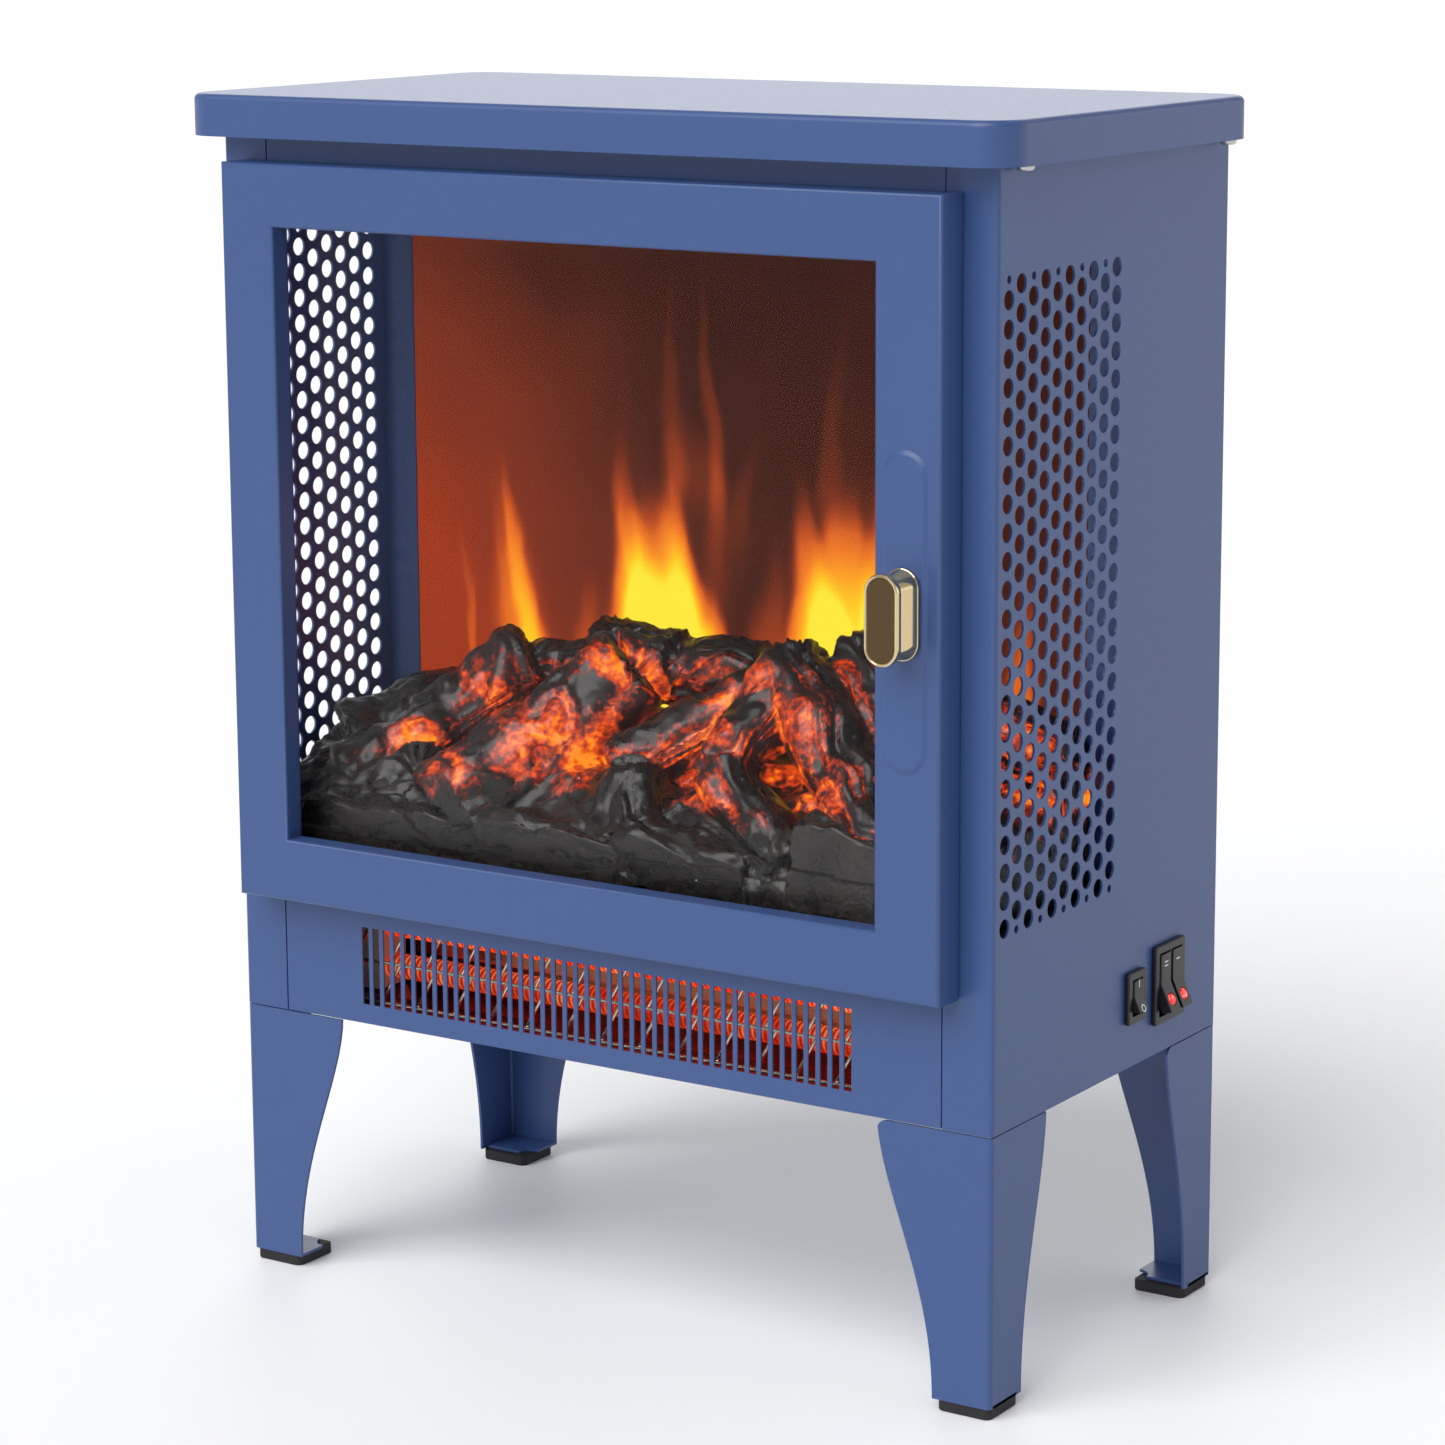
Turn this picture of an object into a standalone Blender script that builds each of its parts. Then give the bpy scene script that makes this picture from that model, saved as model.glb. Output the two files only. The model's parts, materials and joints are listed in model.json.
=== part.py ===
"""Free-standing electric stove heater: steel cabinet, glazed door, false log fire and quartz heater.

Metres, +Z up. The front faces -Y, the door handle is on the +X side, and the feet stand on Z = 0.
Every piece is drawn in cabinet coordinates (Y = 0 on the cabinet's front face, Y grows to the back),
under an empty that moves the whole stove so that its origin lies under the middle of its box.
"""
import math

import bmesh
import bpy
from mathutils import Matrix, Vector

MM = 0.001

# ---- cabinet ----
BODY_W = 365 * MM
BODY_D = 190 * MM
BODY_H = 368.6 * MM
LEG_H = 114.3 * MM
SHEET = 1.0 * MM
GAP = 0.3 * MM
BEND_R = 2.0 * MM
FRONT_FLANGE = 22 * MM
REAR_FLANGE = 12 * MM
SEAM = 0.5 * MM

# ---- lid ----
LID_H = 17.1 * MM
LID_FRONT = 14.5 * MM
LID_SIDE = 11.3 * MM
LID_CORNER_R = 16 * MM
LID_HEM = 9 * MM
LID_PLATE_OUT = 8.5 * MM
LID_SCREW_D = 4 * MM
LID_SCREW_HEAD_D = 7 * MM
LID_SCREW_HEAD_H = 2.4 * MM
LID_SCREW_INSET = 12 * MM

# ---- door ----
DOOR_T = 15.4 * MM
DOOR_GAP = 1.0 * MM
DOOR_X0 = 11.5 * MM - BODY_W / 2
DOOR_X1 = BODY_W / 2 - 14.5 * MM
DOOR_Z0 = LEG_H + 52.7 * MM
DOOR_Z1 = LEG_H + BODY_H - 9.9 * MM
DOOR_EDGE_R = 1.4 * MM
STILE_LEFT = 26 * MM
STILE_RIGHT = 28.5 * MM
RAIL_TOP = 25.7 * MM
RAIL_BOTTOM = 26.3 * MM
GLASS_T = 3 * MM
GLASS_LAP = 9 * MM
HINGE_IN = 4.0 * MM
HINGE_OUT = 12.0 * MM
HINGE_PIN_D = 3 * MM
HINGE_PIN_LEN = 9 * MM
HINGE_TAB_T = 1.6 * MM
HINGE_TAB_W = 4.4 * MM
HINGE_TAB_OUT = 9 * MM
HINGE_PLATE_IN = 4.5 * MM
HINGE_PLATE_H = 24 * MM
HINGE_PLATE_W = 15 * MM
CATCH_W = 12 * MM
CATCH_OUT = 9 * MM

# ---- handle ----
HANDLE_X = DOOR_X1 - 15 * MM
HANDLE_Z = LEG_H + 202.7 * MM
HANDLE_W = 14.5 * MM
HANDLE_H = 35 * MM
HANDLE_OUT = 17 * MM
HANDLE_SCREW_D = 4 * MM
EMBOSS_W = 16.4 * MM
EMBOSS_H = 119.7 * MM
EMBOSS_RISE = 1.0 * MM

# ---- perforated side panels ----
PERF_PITCH = 10.84 * MM
PERF_D = 7.6 * MM
PERF_SMALL_D = 3.3 * MM
PERF_COLUMNS = 10
PERF_ROWS = 23
PERF_Y0 = 8.4 * MM
PERF_Z0 = LEG_H + 80.4 * MM
PERF_SIDES = 4

# ---- front slots ----
SLOT_COUNT = 44
SLOT_PITCH = 5.49 * MM
SLOT_W = 3.3 * MM
SLOT_Z0 = LEG_H + 8.4 * MM
SLOT_Z1 = LEG_H + 41.6 * MM

# ---- back and bottom air slots ----
BACK_INSET = 1.5 * MM
VENT_X = 80 * MM
VENT_Z0 = LEG_H + 35.7 * MM
VENT_W = 68 * MM
VENT_H = 4 * MM
VENT_PITCH = 9 * MM
VENT_ROWS = 8
INLET_COUNT = 12
INLET_PITCH = 16 * MM
INLET_W = 6 * MM

# ---- legs and feet ----
LEG_FRONT_TOP = 51 * MM
LEG_FRONT_END = 26 * MM
LEG_SIDE_TOP = 43 * MM
LEG_SIDE_END = 24.5 * MM
LEG_SHEET = 1.2 * MM
LEG_CURVE = 0.8
LEG_LEVELS = 12
PAD_H = 4.5 * MM
PAD_BOSS_D = 6 * MM
LEG_TAB = 11 * MM
LEG_FLANGE_H = 12 * MM

# ---- fire chamber ----
FLOOR_Z = LEG_H + 73.7 * MM
SCREEN_Y = BODY_D - 87 * MM
SCREEN_STRIP = 15.5 * MM
SCREEN_T = 2.5 * MM
BED_HALF_W = BODY_W / 2 - 10.5 * MM
BED_Y0 = 7 * MM
BED_Y1 = SCREEN_Y - 4 * MM
SPINDLE_Y = BODY_D - 50 * MM
SPINDLE_Z = FLOOR_Z + 80 * MM
SPINDLE_D = 5 * MM
SPINDLE_LEN = 280 * MM
PADDLE_R = 16 * MM
PADDLE_INSET = 15 * MM
PADDLE_TURN = math.radians(67.5)
FLAME_MOTOR_R = 18 * MM
FLAME_MOTOR_T = 15 * MM
BOARD_T = 1.6 * MM
EMBER_BOARD_LEN = 240 * MM
FLAME_BOARD_LEN = 250 * MM
FLAME_BOARD_H = 17 * MM

# ---- heater bay ----
TUBE_D = 10.5 * MM
TUBE_LEN = 262 * MM
TUBE_Y = 30 * MM
TUBE_UPPER_Z = LEG_H + 35.7 * MM
TUBE_LOWER_Z = LEG_H + 17.7 * MM
HOLDER_W = 9 * MM
GUARD_Y = 8 * MM
GUARD_T = 1.2 * MM
GUARD_BAR = 1.6 * MM
GUARD_BAYS = 11
REFLECTOR_BACK = 56 * MM
BLOWER_Y = 84 * MM
BLOWER_Z = LEG_H + 35.7 * MM
BLOWER_D = 36 * MM
BLOWER_LEN = 150 * MM
BLOWER_X0 = -95 * MM
BLOWER_BLADES = 12
TILT_X = -150 * MM

# ---- switches ----
SWITCH_Z = LEG_H + 29.2 * MM
POWER_Y = BODY_D - 75.6 * MM
POWER_BEZEL_W = 15 * MM
POWER_BEZEL_H = 21.5 * MM
HEAT_Y = BODY_D - 46.8 * MM
HEAT_BEZEL_W = 26 * MM
HEAT_BEZEL_H = 33 * MM
BEZEL_T = 2.0 * MM
BEZEL_RIM = 2.2 * MM
SWITCH_DEPTH = 20 * MM
ROCKER_TILT = math.radians(12)
ROCKER_CLEAR = 0.4 * MM
LENS_D = 4.6 * MM
ROCKER_DEEP = 11 * MM

# ---- cord gland ----
GLAND_X = BODY_W / 2 - 52.5 * MM
GLAND_Z = LEG_H + 17.7 * MM
GLAND_NECK_R = 6.5 * MM
GLAND_BORE_R = 3.6 * MM
GLAND_OUT = 6 * MM

# ---- front panel's window, wider than the door's by these on every side ----
PANEL_CLEAR = 6 * MM
PANEL_CLEAR_SILL = 3 * MM

# ---- derived places ----
BODY_TOP = LEG_H + BODY_H
TOTAL_H = BODY_TOP + LID_H
HALF_W = BODY_W / 2
SEAM_X = HALF_W - FRONT_FLANGE
DOOR_BACK = -DOOR_GAP
DOOR_FRONT = DOOR_BACK - DOOR_T
WIN_X0 = DOOR_X0 + STILE_LEFT
WIN_X1 = DOOR_X1 - STILE_RIGHT
WIN_Z0 = DOOR_Z0 + RAIL_BOTTOM
WIN_Z1 = DOOR_Z1 - RAIL_TOP
HINGE_X = DOOR_X0 + HINGE_IN
HINGE_Y = -HINGE_OUT
ROCKER_AXIS = HALF_W
ROCKER_FACE = GAP + BEZEL_T + 0.6 * MM
FRONT_EXTREME = DOOR_FRONT - HANDLE_OUT - EMBOSS_RISE
BACK_EXTREME = BODY_D + GLAND_OUT
MID_Y = (FRONT_EXTREME + BACK_EXTREME) / 2
INNER_X = HALF_W - SHEET - GAP
BACK_FACE = BODY_D - SHEET - GAP

# ---- finishes: colour, roughness, metallic ----
FINISHES = {
    "blue_paint": ((0.10, 0.15, 0.36, 1), 0.38, 0.0),
    "dark_paint": ((0.02, 0.025, 0.05, 1), 0.5, 0.0),
    "zinc_plate": ((0.55, 0.55, 0.53, 1), 0.35, 1.0),
    "copper_mirror": ((0.75, 0.45, 0.30, 1), 0.25, 1.0),
    "gold_plate": ((0.80, 0.66, 0.42, 1), 0.15, 1.0),
    "clear_glass": ((0.85, 0.88, 0.88, 1), 0.02, 0.0),
    "amber_film": ((0.55, 0.16, 0.04, 1), 0.4, 0.0),
    "char_resin": ((0.05, 0.03, 0.02, 1), 0.6, 0.0),
    "glow_quartz": ((0.95, 0.30, 0.08, 1), 0.3, 0.0),
    "ceramic_white": ((0.80, 0.78, 0.72, 1), 0.6, 0.0),
    "black_plastic": ((0.015, 0.015, 0.016, 1), 0.35, 0.0),
    "red_lens": ((0.65, 0.02, 0.02, 1), 0.2, 0.0),
    "black_rubber": ((0.02, 0.02, 0.02, 1), 0.8, 0.0),
    "circuit_board": ((0.03, 0.18, 0.07, 1), 0.5, 0.0),
    "wire_steel": ((0.70, 0.66, 0.60, 1), 0.3, 1.0),
    "blower_steel": ((0.42, 0.44, 0.46, 1), 0.4, 1.0),
}


def clear_scene():
    """Remove what the start-up file holds."""
    for item in list(bpy.data.objects):
        bpy.data.objects.remove(item, do_unlink=True)


def finish(name):
    """Return the Principled material of one finish, made once."""
    found = bpy.data.materials.get(name)
    if found:
        return found
    colour, roughness, metallic = FINISHES[name]
    made = bpy.data.materials.new(name)
    made.use_nodes = True
    made.diffuse_color = colour
    shader = made.node_tree.nodes["Principled BSDF"]
    shader.inputs["Base Color"].default_value = colour
    shader.inputs["Roughness"].default_value = roughness
    shader.inputs["Metallic"].default_value = metallic
    return made


def part(name, bm, finish_name, pivot=(0, 0, 0), smooth=None):
    """Make a named piece from a mesh in cabinet coordinates, with its origin at pivot."""
    bmesh.ops.recalc_face_normals(bm, faces=bm.faces)
    bmesh.ops.translate(bm, verts=bm.verts, vec=-Vector(pivot))
    mesh = bpy.data.meshes.new(name)
    bm.to_mesh(mesh)
    bm.free()
    mesh.materials.append(finish(finish_name))
    if smooth is not None:
        mesh.shade_smooth()
        mesh.set_sharp_from_angle(angle=math.radians(smooth))
    piece = bpy.data.objects.new(name, mesh)
    piece.location = pivot
    piece.parent = CABINET
    bpy.context.scene.collection.objects.link(piece)
    return piece


def tool(piece, bm, operation, label):
    """Combine a piece with a hidden tool shape in cabinet coordinates."""
    shape = part(f"{piece.name}_{label}", bm, "dark_paint")
    shape.hide_render = True
    shape.display_type = "WIRE"
    step = piece.modifiers.new(label, "BOOLEAN")
    step.operation = operation
    step.solver = "EXACT"
    step.object = shape


def box(x0, x1, y0, y1, z0, z1, bm=None):
    """A closed box between two corners, added to bm if one is given."""
    bm = bm or bmesh.new()
    size = (x1 - x0, y1 - y0, z1 - z0)
    centre = ((x0 + x1) / 2, (y0 + y1) / 2, (z0 + z1) / 2)
    place = Matrix.Translation(centre) @ Matrix.Diagonal((*size, 1))
    bmesh.ops.create_cube(bm, size=1, matrix=place)
    return bm


def to_space(axis, u, v, w):
    """Turn a profile point (u, v) at w along the axis into x, y, z."""
    if axis == "x":
        return (w, u, v)
    if axis == "y":
        return (u, w, v)
    return (u, v, w)


def prism(axis, outline, start, end, holes=(), bm=None):
    """A closed prism of an outline, with any holes through it."""
    bm = bm or bmesh.new()
    edges = []
    for loop in (outline, *holes):
        verts = [bm.verts.new(to_space(axis, u, v, start)) for u, v in loop]
        for first, second in zip(verts, verts[1:] + verts[:1]):
            edges.append(bm.edges.new((first, second)))
    if holes:
        made = bmesh.ops.triangle_fill(bm, edges=edges, use_beauty=True)
        faces = [item for item in made["geom"] if isinstance(item, bmesh.types.BMFace)]
    else:
        faces = [bm.faces.new(verts)]
    lifted = bmesh.ops.extrude_face_region(bm, geom=faces)
    verts = [item for item in lifted["geom"] if isinstance(item, bmesh.types.BMVert)]
    bmesh.ops.translate(bm, verts=verts, vec=to_space(axis, 0, 0, end - start))
    return bm


def loft(rings, closed=False):
    """Bridge rings that have equal point counts; a ring closed on itself has no caps."""
    bm = bmesh.new()
    rows = [[bm.verts.new(point) for point in ring] for ring in rings]
    pairs = list(zip(rows, rows[1:]))
    if closed:
        pairs.append((rows[-1], rows[0]))
    for low, high in pairs:
        count = len(low)
        for i in range(count):
            j = (i + 1) % count
            bm.faces.new((low[i], low[j], high[j], high[i]))
    if not closed:
        bm.faces.new(rows[0])
        bm.faces.new(rows[-1])
    return bm


def circle(u, v, radius, sides, turn=0.0):
    """Points of a regular polygon on a circle."""
    step = 2 * math.pi / sides
    return [(u + radius * math.cos(turn + i * step), v + radius * math.sin(turn + i * step))
            for i in range(sides)]


def rectangle(u0, u1, v0, v1):
    """Corners of a rectangle."""
    return [(u0, v0), (u1, v0), (u1, v1), (u0, v1)]


def rounded(u0, u1, v0, v1, radius, steps=4):
    """A rectangle with round corners of steps + 1 points each."""
    points = []
    corners = ((u1 - radius, v1 - radius, 0), (u0 + radius, v1 - radius, 1),
               (u0 + radius, v0 + radius, 2), (u1 - radius, v0 + radius, 3))
    for u, v, quarter in corners:
        for i in range(steps + 1):
            angle = math.pi / 2 * (quarter + i / steps)
            points.append((u + radius * math.cos(angle), v + radius * math.sin(angle)))
    return points


def rod(axis, u, v, radius, start, end, sides=16, bm=None):
    """A closed round rod along an axis."""
    return prism(axis, circle(u, v, radius, sides), start, end, bm=bm)


def turned(axis, u, v, profile, sides=16):
    """A closed turned body: profile lists (place along the axis, radius)."""
    rings = []
    for place, radius in profile:
        rings.append([to_space(axis, a, b, place) for a, b in circle(u, v, radius, sides)])
    return loft(rings)


# ---------------------------------------------------------------- cabinet shell

def perforation_rows():
    """Yield (y, z, radius) of every hole in a side panel."""
    column_pitch = PERF_PITCH * math.sqrt(3) / 2
    edge_step = PERF_PITCH / 2 + (PERF_D - PERF_SMALL_D) / 2
    for column in range(PERF_COLUMNS):
        raised = column % 2
        y = PERF_Y0 + column * column_pitch
        z = PERF_Z0 + raised * PERF_PITCH / 2
        for row in range(PERF_ROWS):
            yield y, z + row * PERF_PITCH, PERF_D / 2
        last = z + (PERF_ROWS - 1) * PERF_PITCH
        small = z - edge_step if raised else last + edge_step
        yield y, small, PERF_SMALL_D / 2


def switch_cuts():
    """Openings in the right side panel for the two switch bodies."""
    cuts = []
    for y, width, height in switch_sizes():
        half_w = width / 2 - BEZEL_RIM + GAP
        half_h = height / 2 - BEZEL_RIM + GAP
        cuts.append(rectangle(y - half_w, y + half_w, SWITCH_Z - half_h, SWITCH_Z + half_h))
    return cuts


def switch_sizes():
    """Centre depth, bezel width and bezel height of each switch."""
    return ((POWER_Y, POWER_BEZEL_W, POWER_BEZEL_H), (HEAT_Y, HEAT_BEZEL_W, HEAT_BEZEL_H))


def side_panel(name, side):
    """A perforated web with a folded flange at the front and the back; side is -1 or 1."""
    outer = side * HALF_W
    inner = side * (HALF_W - SHEET)
    holes = [circle(y, z, r, PERF_SIDES) for y, z, r in perforation_rows()]
    if side > 0:
        holes += switch_cuts()
    web_front = BEND_R
    web = prism("x", rectangle(web_front, BACK_FACE - BEND_R, LEG_H, BODY_TOP), inner, outer, holes)
    piece = part(name, web, "blue_paint")
    overlap = SHEET
    front = flange_outline(side, 0.0, FRONT_FLANGE, 1, web_front + overlap)
    tool(piece, prism("z", front, LEG_H, BODY_TOP), "UNION", "front_fold")
    back = flange_outline(side, BACK_FACE, REAR_FLANGE, -1, BEND_R + overlap)
    tool(piece, prism("z", back, LEG_H, BODY_TOP), "UNION", "back_fold")


def flange_outline(side, face_y, length, inward, web_len):
    """The plan of a folded edge: a flange along X, a round bend and a short run of web."""
    steps = 4
    points = [(side * (HALF_W - length), face_y)]
    for i in range(steps + 1):
        angle = math.pi / 2 * i / steps
        points.append((side * (HALF_W - BEND_R + BEND_R * math.sin(angle)),
                       face_y + inward * (BEND_R - BEND_R * math.cos(angle))))
    points.append((side * HALF_W, face_y + inward * web_len))
    points.append((side * (HALF_W - SHEET), face_y + inward * web_len))
    inner_r = BEND_R - SHEET
    for i in range(steps + 1):
        angle = math.pi / 2 * (1 - i / steps)
        points.append((side * (HALF_W - BEND_R + inner_r * math.sin(angle)),
                       face_y + inward * (BEND_R - inner_r * math.cos(angle))))
    points.append((side * (HALF_W - length), face_y + inward * SHEET))
    return points


def front_panel():
    """The centre front sheet, with the window opening and the warm-air slots."""
    edge = SEAM_X - SEAM
    slots = []
    for i in range(SLOT_COUNT):
        x = (i - (SLOT_COUNT - 1) / 2) * SLOT_PITCH
        slots.append(rectangle(x - SLOT_W / 2, x + SLOT_W / 2, SLOT_Z0, SLOT_Z1))
    window = rectangle(WIN_X0 - PANEL_CLEAR, WIN_X1 + PANEL_CLEAR,
                       WIN_Z0 - PANEL_CLEAR_SILL, WIN_Z1 + PANEL_CLEAR)
    sheet = prism("y", rectangle(-edge, edge, LEG_H, BODY_TOP), 0, SHEET, [window, *slots])
    part("front_panel", sheet, "blue_paint")


def back_panel():
    """The rear sheet, with two banks of air slots and the hole for the cord gland."""
    slots = []
    half_w = VENT_W / 2
    half_h = VENT_H / 2
    for bank_x in (-VENT_X, VENT_X):
        for row in range(VENT_ROWS):
            z = VENT_Z0 + row * VENT_PITCH
            slots.append(rounded(bank_x - half_w, bank_x + half_w, z - half_h, z + half_h,
                                 half_h - 0.1 * MM, 1))
    slots.append(circle(GLAND_X, GLAND_Z, GLAND_NECK_R + GAP, 16))
    edge = HALF_W - BACK_INSET
    outline = rectangle(-edge, edge, LEG_H + BACK_INSET, BODY_TOP - BACK_INSET)
    part("back_panel", prism("y", outline, BODY_D - SHEET, BODY_D, slots), "blue_paint")


def base_plate():
    """The cabinet's bottom sheet, with its air inlet slots."""
    holes = []
    for i in range(INLET_COUNT):
        x = (i - (INLET_COUNT - 1) / 2) * INLET_PITCH
        holes.append(rectangle(x - INLET_W / 2, x + INLET_W / 2, BODY_D / 2, BODY_D - 40 * MM))
    outline = rectangle(-INNER_X, INNER_X, SHEET + GAP, BACK_FACE - SHEET - GAP)
    part("base_plate", prism("z", outline, LEG_H, LEG_H + SHEET, holes), "blue_paint")


def lid_ring(inset, z):
    """One rounded ring of the lid pan at a height."""
    half = HALF_W + LID_SIDE - inset
    radius = LID_CORNER_R - inset
    front = -LID_FRONT + inset
    return [(x, y, z) for x, y in rounded(-half, half, front, BODY_D - inset, radius)]


def top_lid():
    """A folded pan with round corners, a soft top edge and a hem that the screws enter."""
    hem_low = BODY_TOP + SHEET + 2 * GAP
    hem_high = hem_low + SHEET
    edge_r = 2.5 * MM
    rings = [lid_ring(0, BODY_TOP)]
    for i in range(4):
        angle = math.pi / 2 * i / 3
        rings.append(lid_ring(edge_r * (1 - math.cos(angle)), TOTAL_H - edge_r * (1 - math.sin(angle))))
    outer = loft(rings)
    piece = part("top_lid", outer, "blue_paint", smooth=40)
    hollow = [lid_ring(SHEET, hem_high), lid_ring(SHEET, TOTAL_H - SHEET)]
    mouth = [lid_ring(SHEET + LID_HEM, hem_low - SHEET), lid_ring(SHEET + LID_HEM, hem_high + SHEET)]
    seat = [lid_ring(SHEET, BODY_TOP - SHEET), lid_ring(SHEET, hem_low)]
    tool(piece, loft(hollow), "DIFFERENCE", "hollow")
    tool(piece, loft(mouth), "DIFFERENCE", "mouth")
    tool(piece, loft(seat), "DIFFERENCE", "seat")
    tool(piece, screw_holes(hem_low - SHEET, hem_high + SHEET), "DIFFERENCE", "screw_holes")


def lid_screw_places():
    """Centres of the four screws that come up into the lid's hem."""
    x = HALF_W + LID_PLATE_OUT / 2
    return [(sx * x, y) for y in (LID_SCREW_INSET, BODY_D - LID_SCREW_INSET) for sx in (-1, 1)]


def screw_holes(z0, z1):
    """Clearance holes for the lid screws."""
    bm = bmesh.new()
    for x, y in lid_screw_places():
        rod("z", x, y, LID_SCREW_D / 2 + GAP, z0, z1, 12, bm)
    return bm


def top_plate():
    """The flat sheet on the cabinet's walls, under the lid, that the lid is screwed to."""
    half = HALF_W + LID_PLATE_OUT
    z0 = BODY_TOP + GAP
    outline = rounded(-half, half, -LID_FRONT / 2, BODY_D - SHEET - 2 * GAP, LID_CORNER_R)
    holes = [circle(x, y, LID_SCREW_D / 2 + GAP, 12) for x, y in lid_screw_places()]
    part("top_plate", prism("z", outline, z0, z0 + SHEET, holes), "blue_paint")


def lid_screws():
    """Four pan-head screws, heads below the top plate."""
    head_top = BODY_TOP
    for number, (x, y) in enumerate(lid_screw_places(), 1):
        radius = LID_SCREW_HEAD_D / 2
        profile = [(head_top - LID_SCREW_HEAD_H, radius * 0.45),
                   (head_top - LID_SCREW_HEAD_H * 0.6, radius * 0.9),
                   (head_top, radius),
                   (head_top, LID_SCREW_D / 2),
                   (head_top + 6 * MM, LID_SCREW_D / 2)]
        part(f"lid_screw_{number}", turned("z", x, y, profile, 12), "zinc_plate", smooth=40)


# ---------------------------------------------------------------- legs

def leg_reach(top, end, t):
    """Width of a leg's arm, t from 0 at the cabinet to 1 at the foot."""
    return end + (top - end) * (1 + math.cos(math.pi * t ** LEG_CURVE)) / 2


def leg(name, sx, sy):
    """A pressed angle leg with curved arms, a top flange and two foot tabs.

    sx is -1 or 1 for left or right, sy is 1 for the front and -1 for the back.
    """
    x_out = sx * HALF_W
    y_out = 0.0 if sy > 0 else BACK_FACE
    top = LEG_H - GAP

    def spot(across, along, z):
        return (x_out - sx * across, y_out + sy * along, z)

    rings = []
    for level in range(LEG_LEVELS + 1):
        t = 1 - level / LEG_LEVELS
        z = top - (top - PAD_H - GAP) * t
        front = leg_reach(LEG_FRONT_TOP, LEG_FRONT_END, t)
        side = leg_reach(LEG_SIDE_TOP, LEG_SIDE_END, t)
        ring = [spot(front, 0, z), spot(BEND_R, 0, z)]
        ring.append(spot(BEND_R * 0.3, BEND_R * 0.3, z))
        ring += [spot(0, BEND_R, z), spot(0, side, z), spot(LEG_SHEET, side, z)]
        ring += [spot(LEG_SHEET, LEG_SHEET, z), spot(front, LEG_SHEET, z)]
        rings.append(ring)
    piece = part(name, loft(rings), "blue_paint", smooth=35)
    inside = LEG_SHEET / 2
    flange = box(*span(x_out - sx * inside, x_out - sx * (LEG_FRONT_TOP - 6 * MM)),
                 *span(y_out + sy * inside, y_out + sy * (LEG_SIDE_TOP - 6 * MM)),
                 top - SHEET, top - 0.01 * MM)
    tool(piece, flange, "UNION", "top_flange")
    low = PAD_H + GAP + 0.01 * MM
    front_tab = box(*span(x_out - sx * (LEG_TAB + 3 * MM), x_out - sx * (LEG_FRONT_END - 2 * MM)),
                    *span(y_out + sy * inside, y_out + sy * LEG_TAB), low, low + LEG_SHEET)
    tool(piece, front_tab, "UNION", "front_tab")
    side_tab = box(*span(x_out - sx * inside, x_out - sx * (LEG_TAB + 1 * MM)),
                   *span(y_out + sy * (LEG_TAB + 1 * MM), y_out + sy * (LEG_SIDE_END - 1 * MM)),
                   low, low + LEG_SHEET)
    tool(piece, side_tab, "UNION", "side_tab")
    foot_pad(name.replace("leg", "foot_pad"), x_out, y_out, sx, sy)


def foot_pad(name, x_out, y_out, sx, sy):
    """A rubber pad under a leg's foot tabs."""
    x0, x1 = span(x_out - sx * 0.8 * MM, x_out - sx * (LEG_FRONT_END - 1.5 * MM))
    y0, y1 = span(y_out + sy * 0.8 * MM, y_out + sy * (LEG_SIDE_END - 0.5 * MM))
    outline = rounded(x0, x1, y0, y1, 3 * MM, 3)
    part(name, prism("z", outline, 0, PAD_H), "black_rubber")


def span(a, b):
    """Two numbers in rising order."""
    return (a, b) if a < b else (b, a)


# ---------------------------------------------------------------- door

def door_ring(inset, y):
    """A rectangle that follows the door's outer edge."""
    points = rectangle(DOOR_X0 + inset, DOOR_X1 - inset, DOOR_Z0 + inset, DOOR_Z1 - inset)
    return [(x, y, z) for x, z in points]


def window_ring(outset, y):
    """A rectangle that follows the window's edge."""
    points = rectangle(WIN_X0 - outset, WIN_X1 + outset, WIN_Z0 - outset, WIN_Z1 + outset)
    return [(x, y, z) for x, z in points]


def stadium(x, z, width, height, steps=8):
    """An upright outline with round ends."""
    radius = width / 2
    reach = height / 2 - radius
    points = []
    for end, start in ((1, 0.0), (-1, math.pi)):
        for i in range(steps + 1):
            angle = start + math.pi * i / steps
            points.append((x + radius * math.cos(angle), z + end * reach + radius * math.sin(angle)))
    return points


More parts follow.
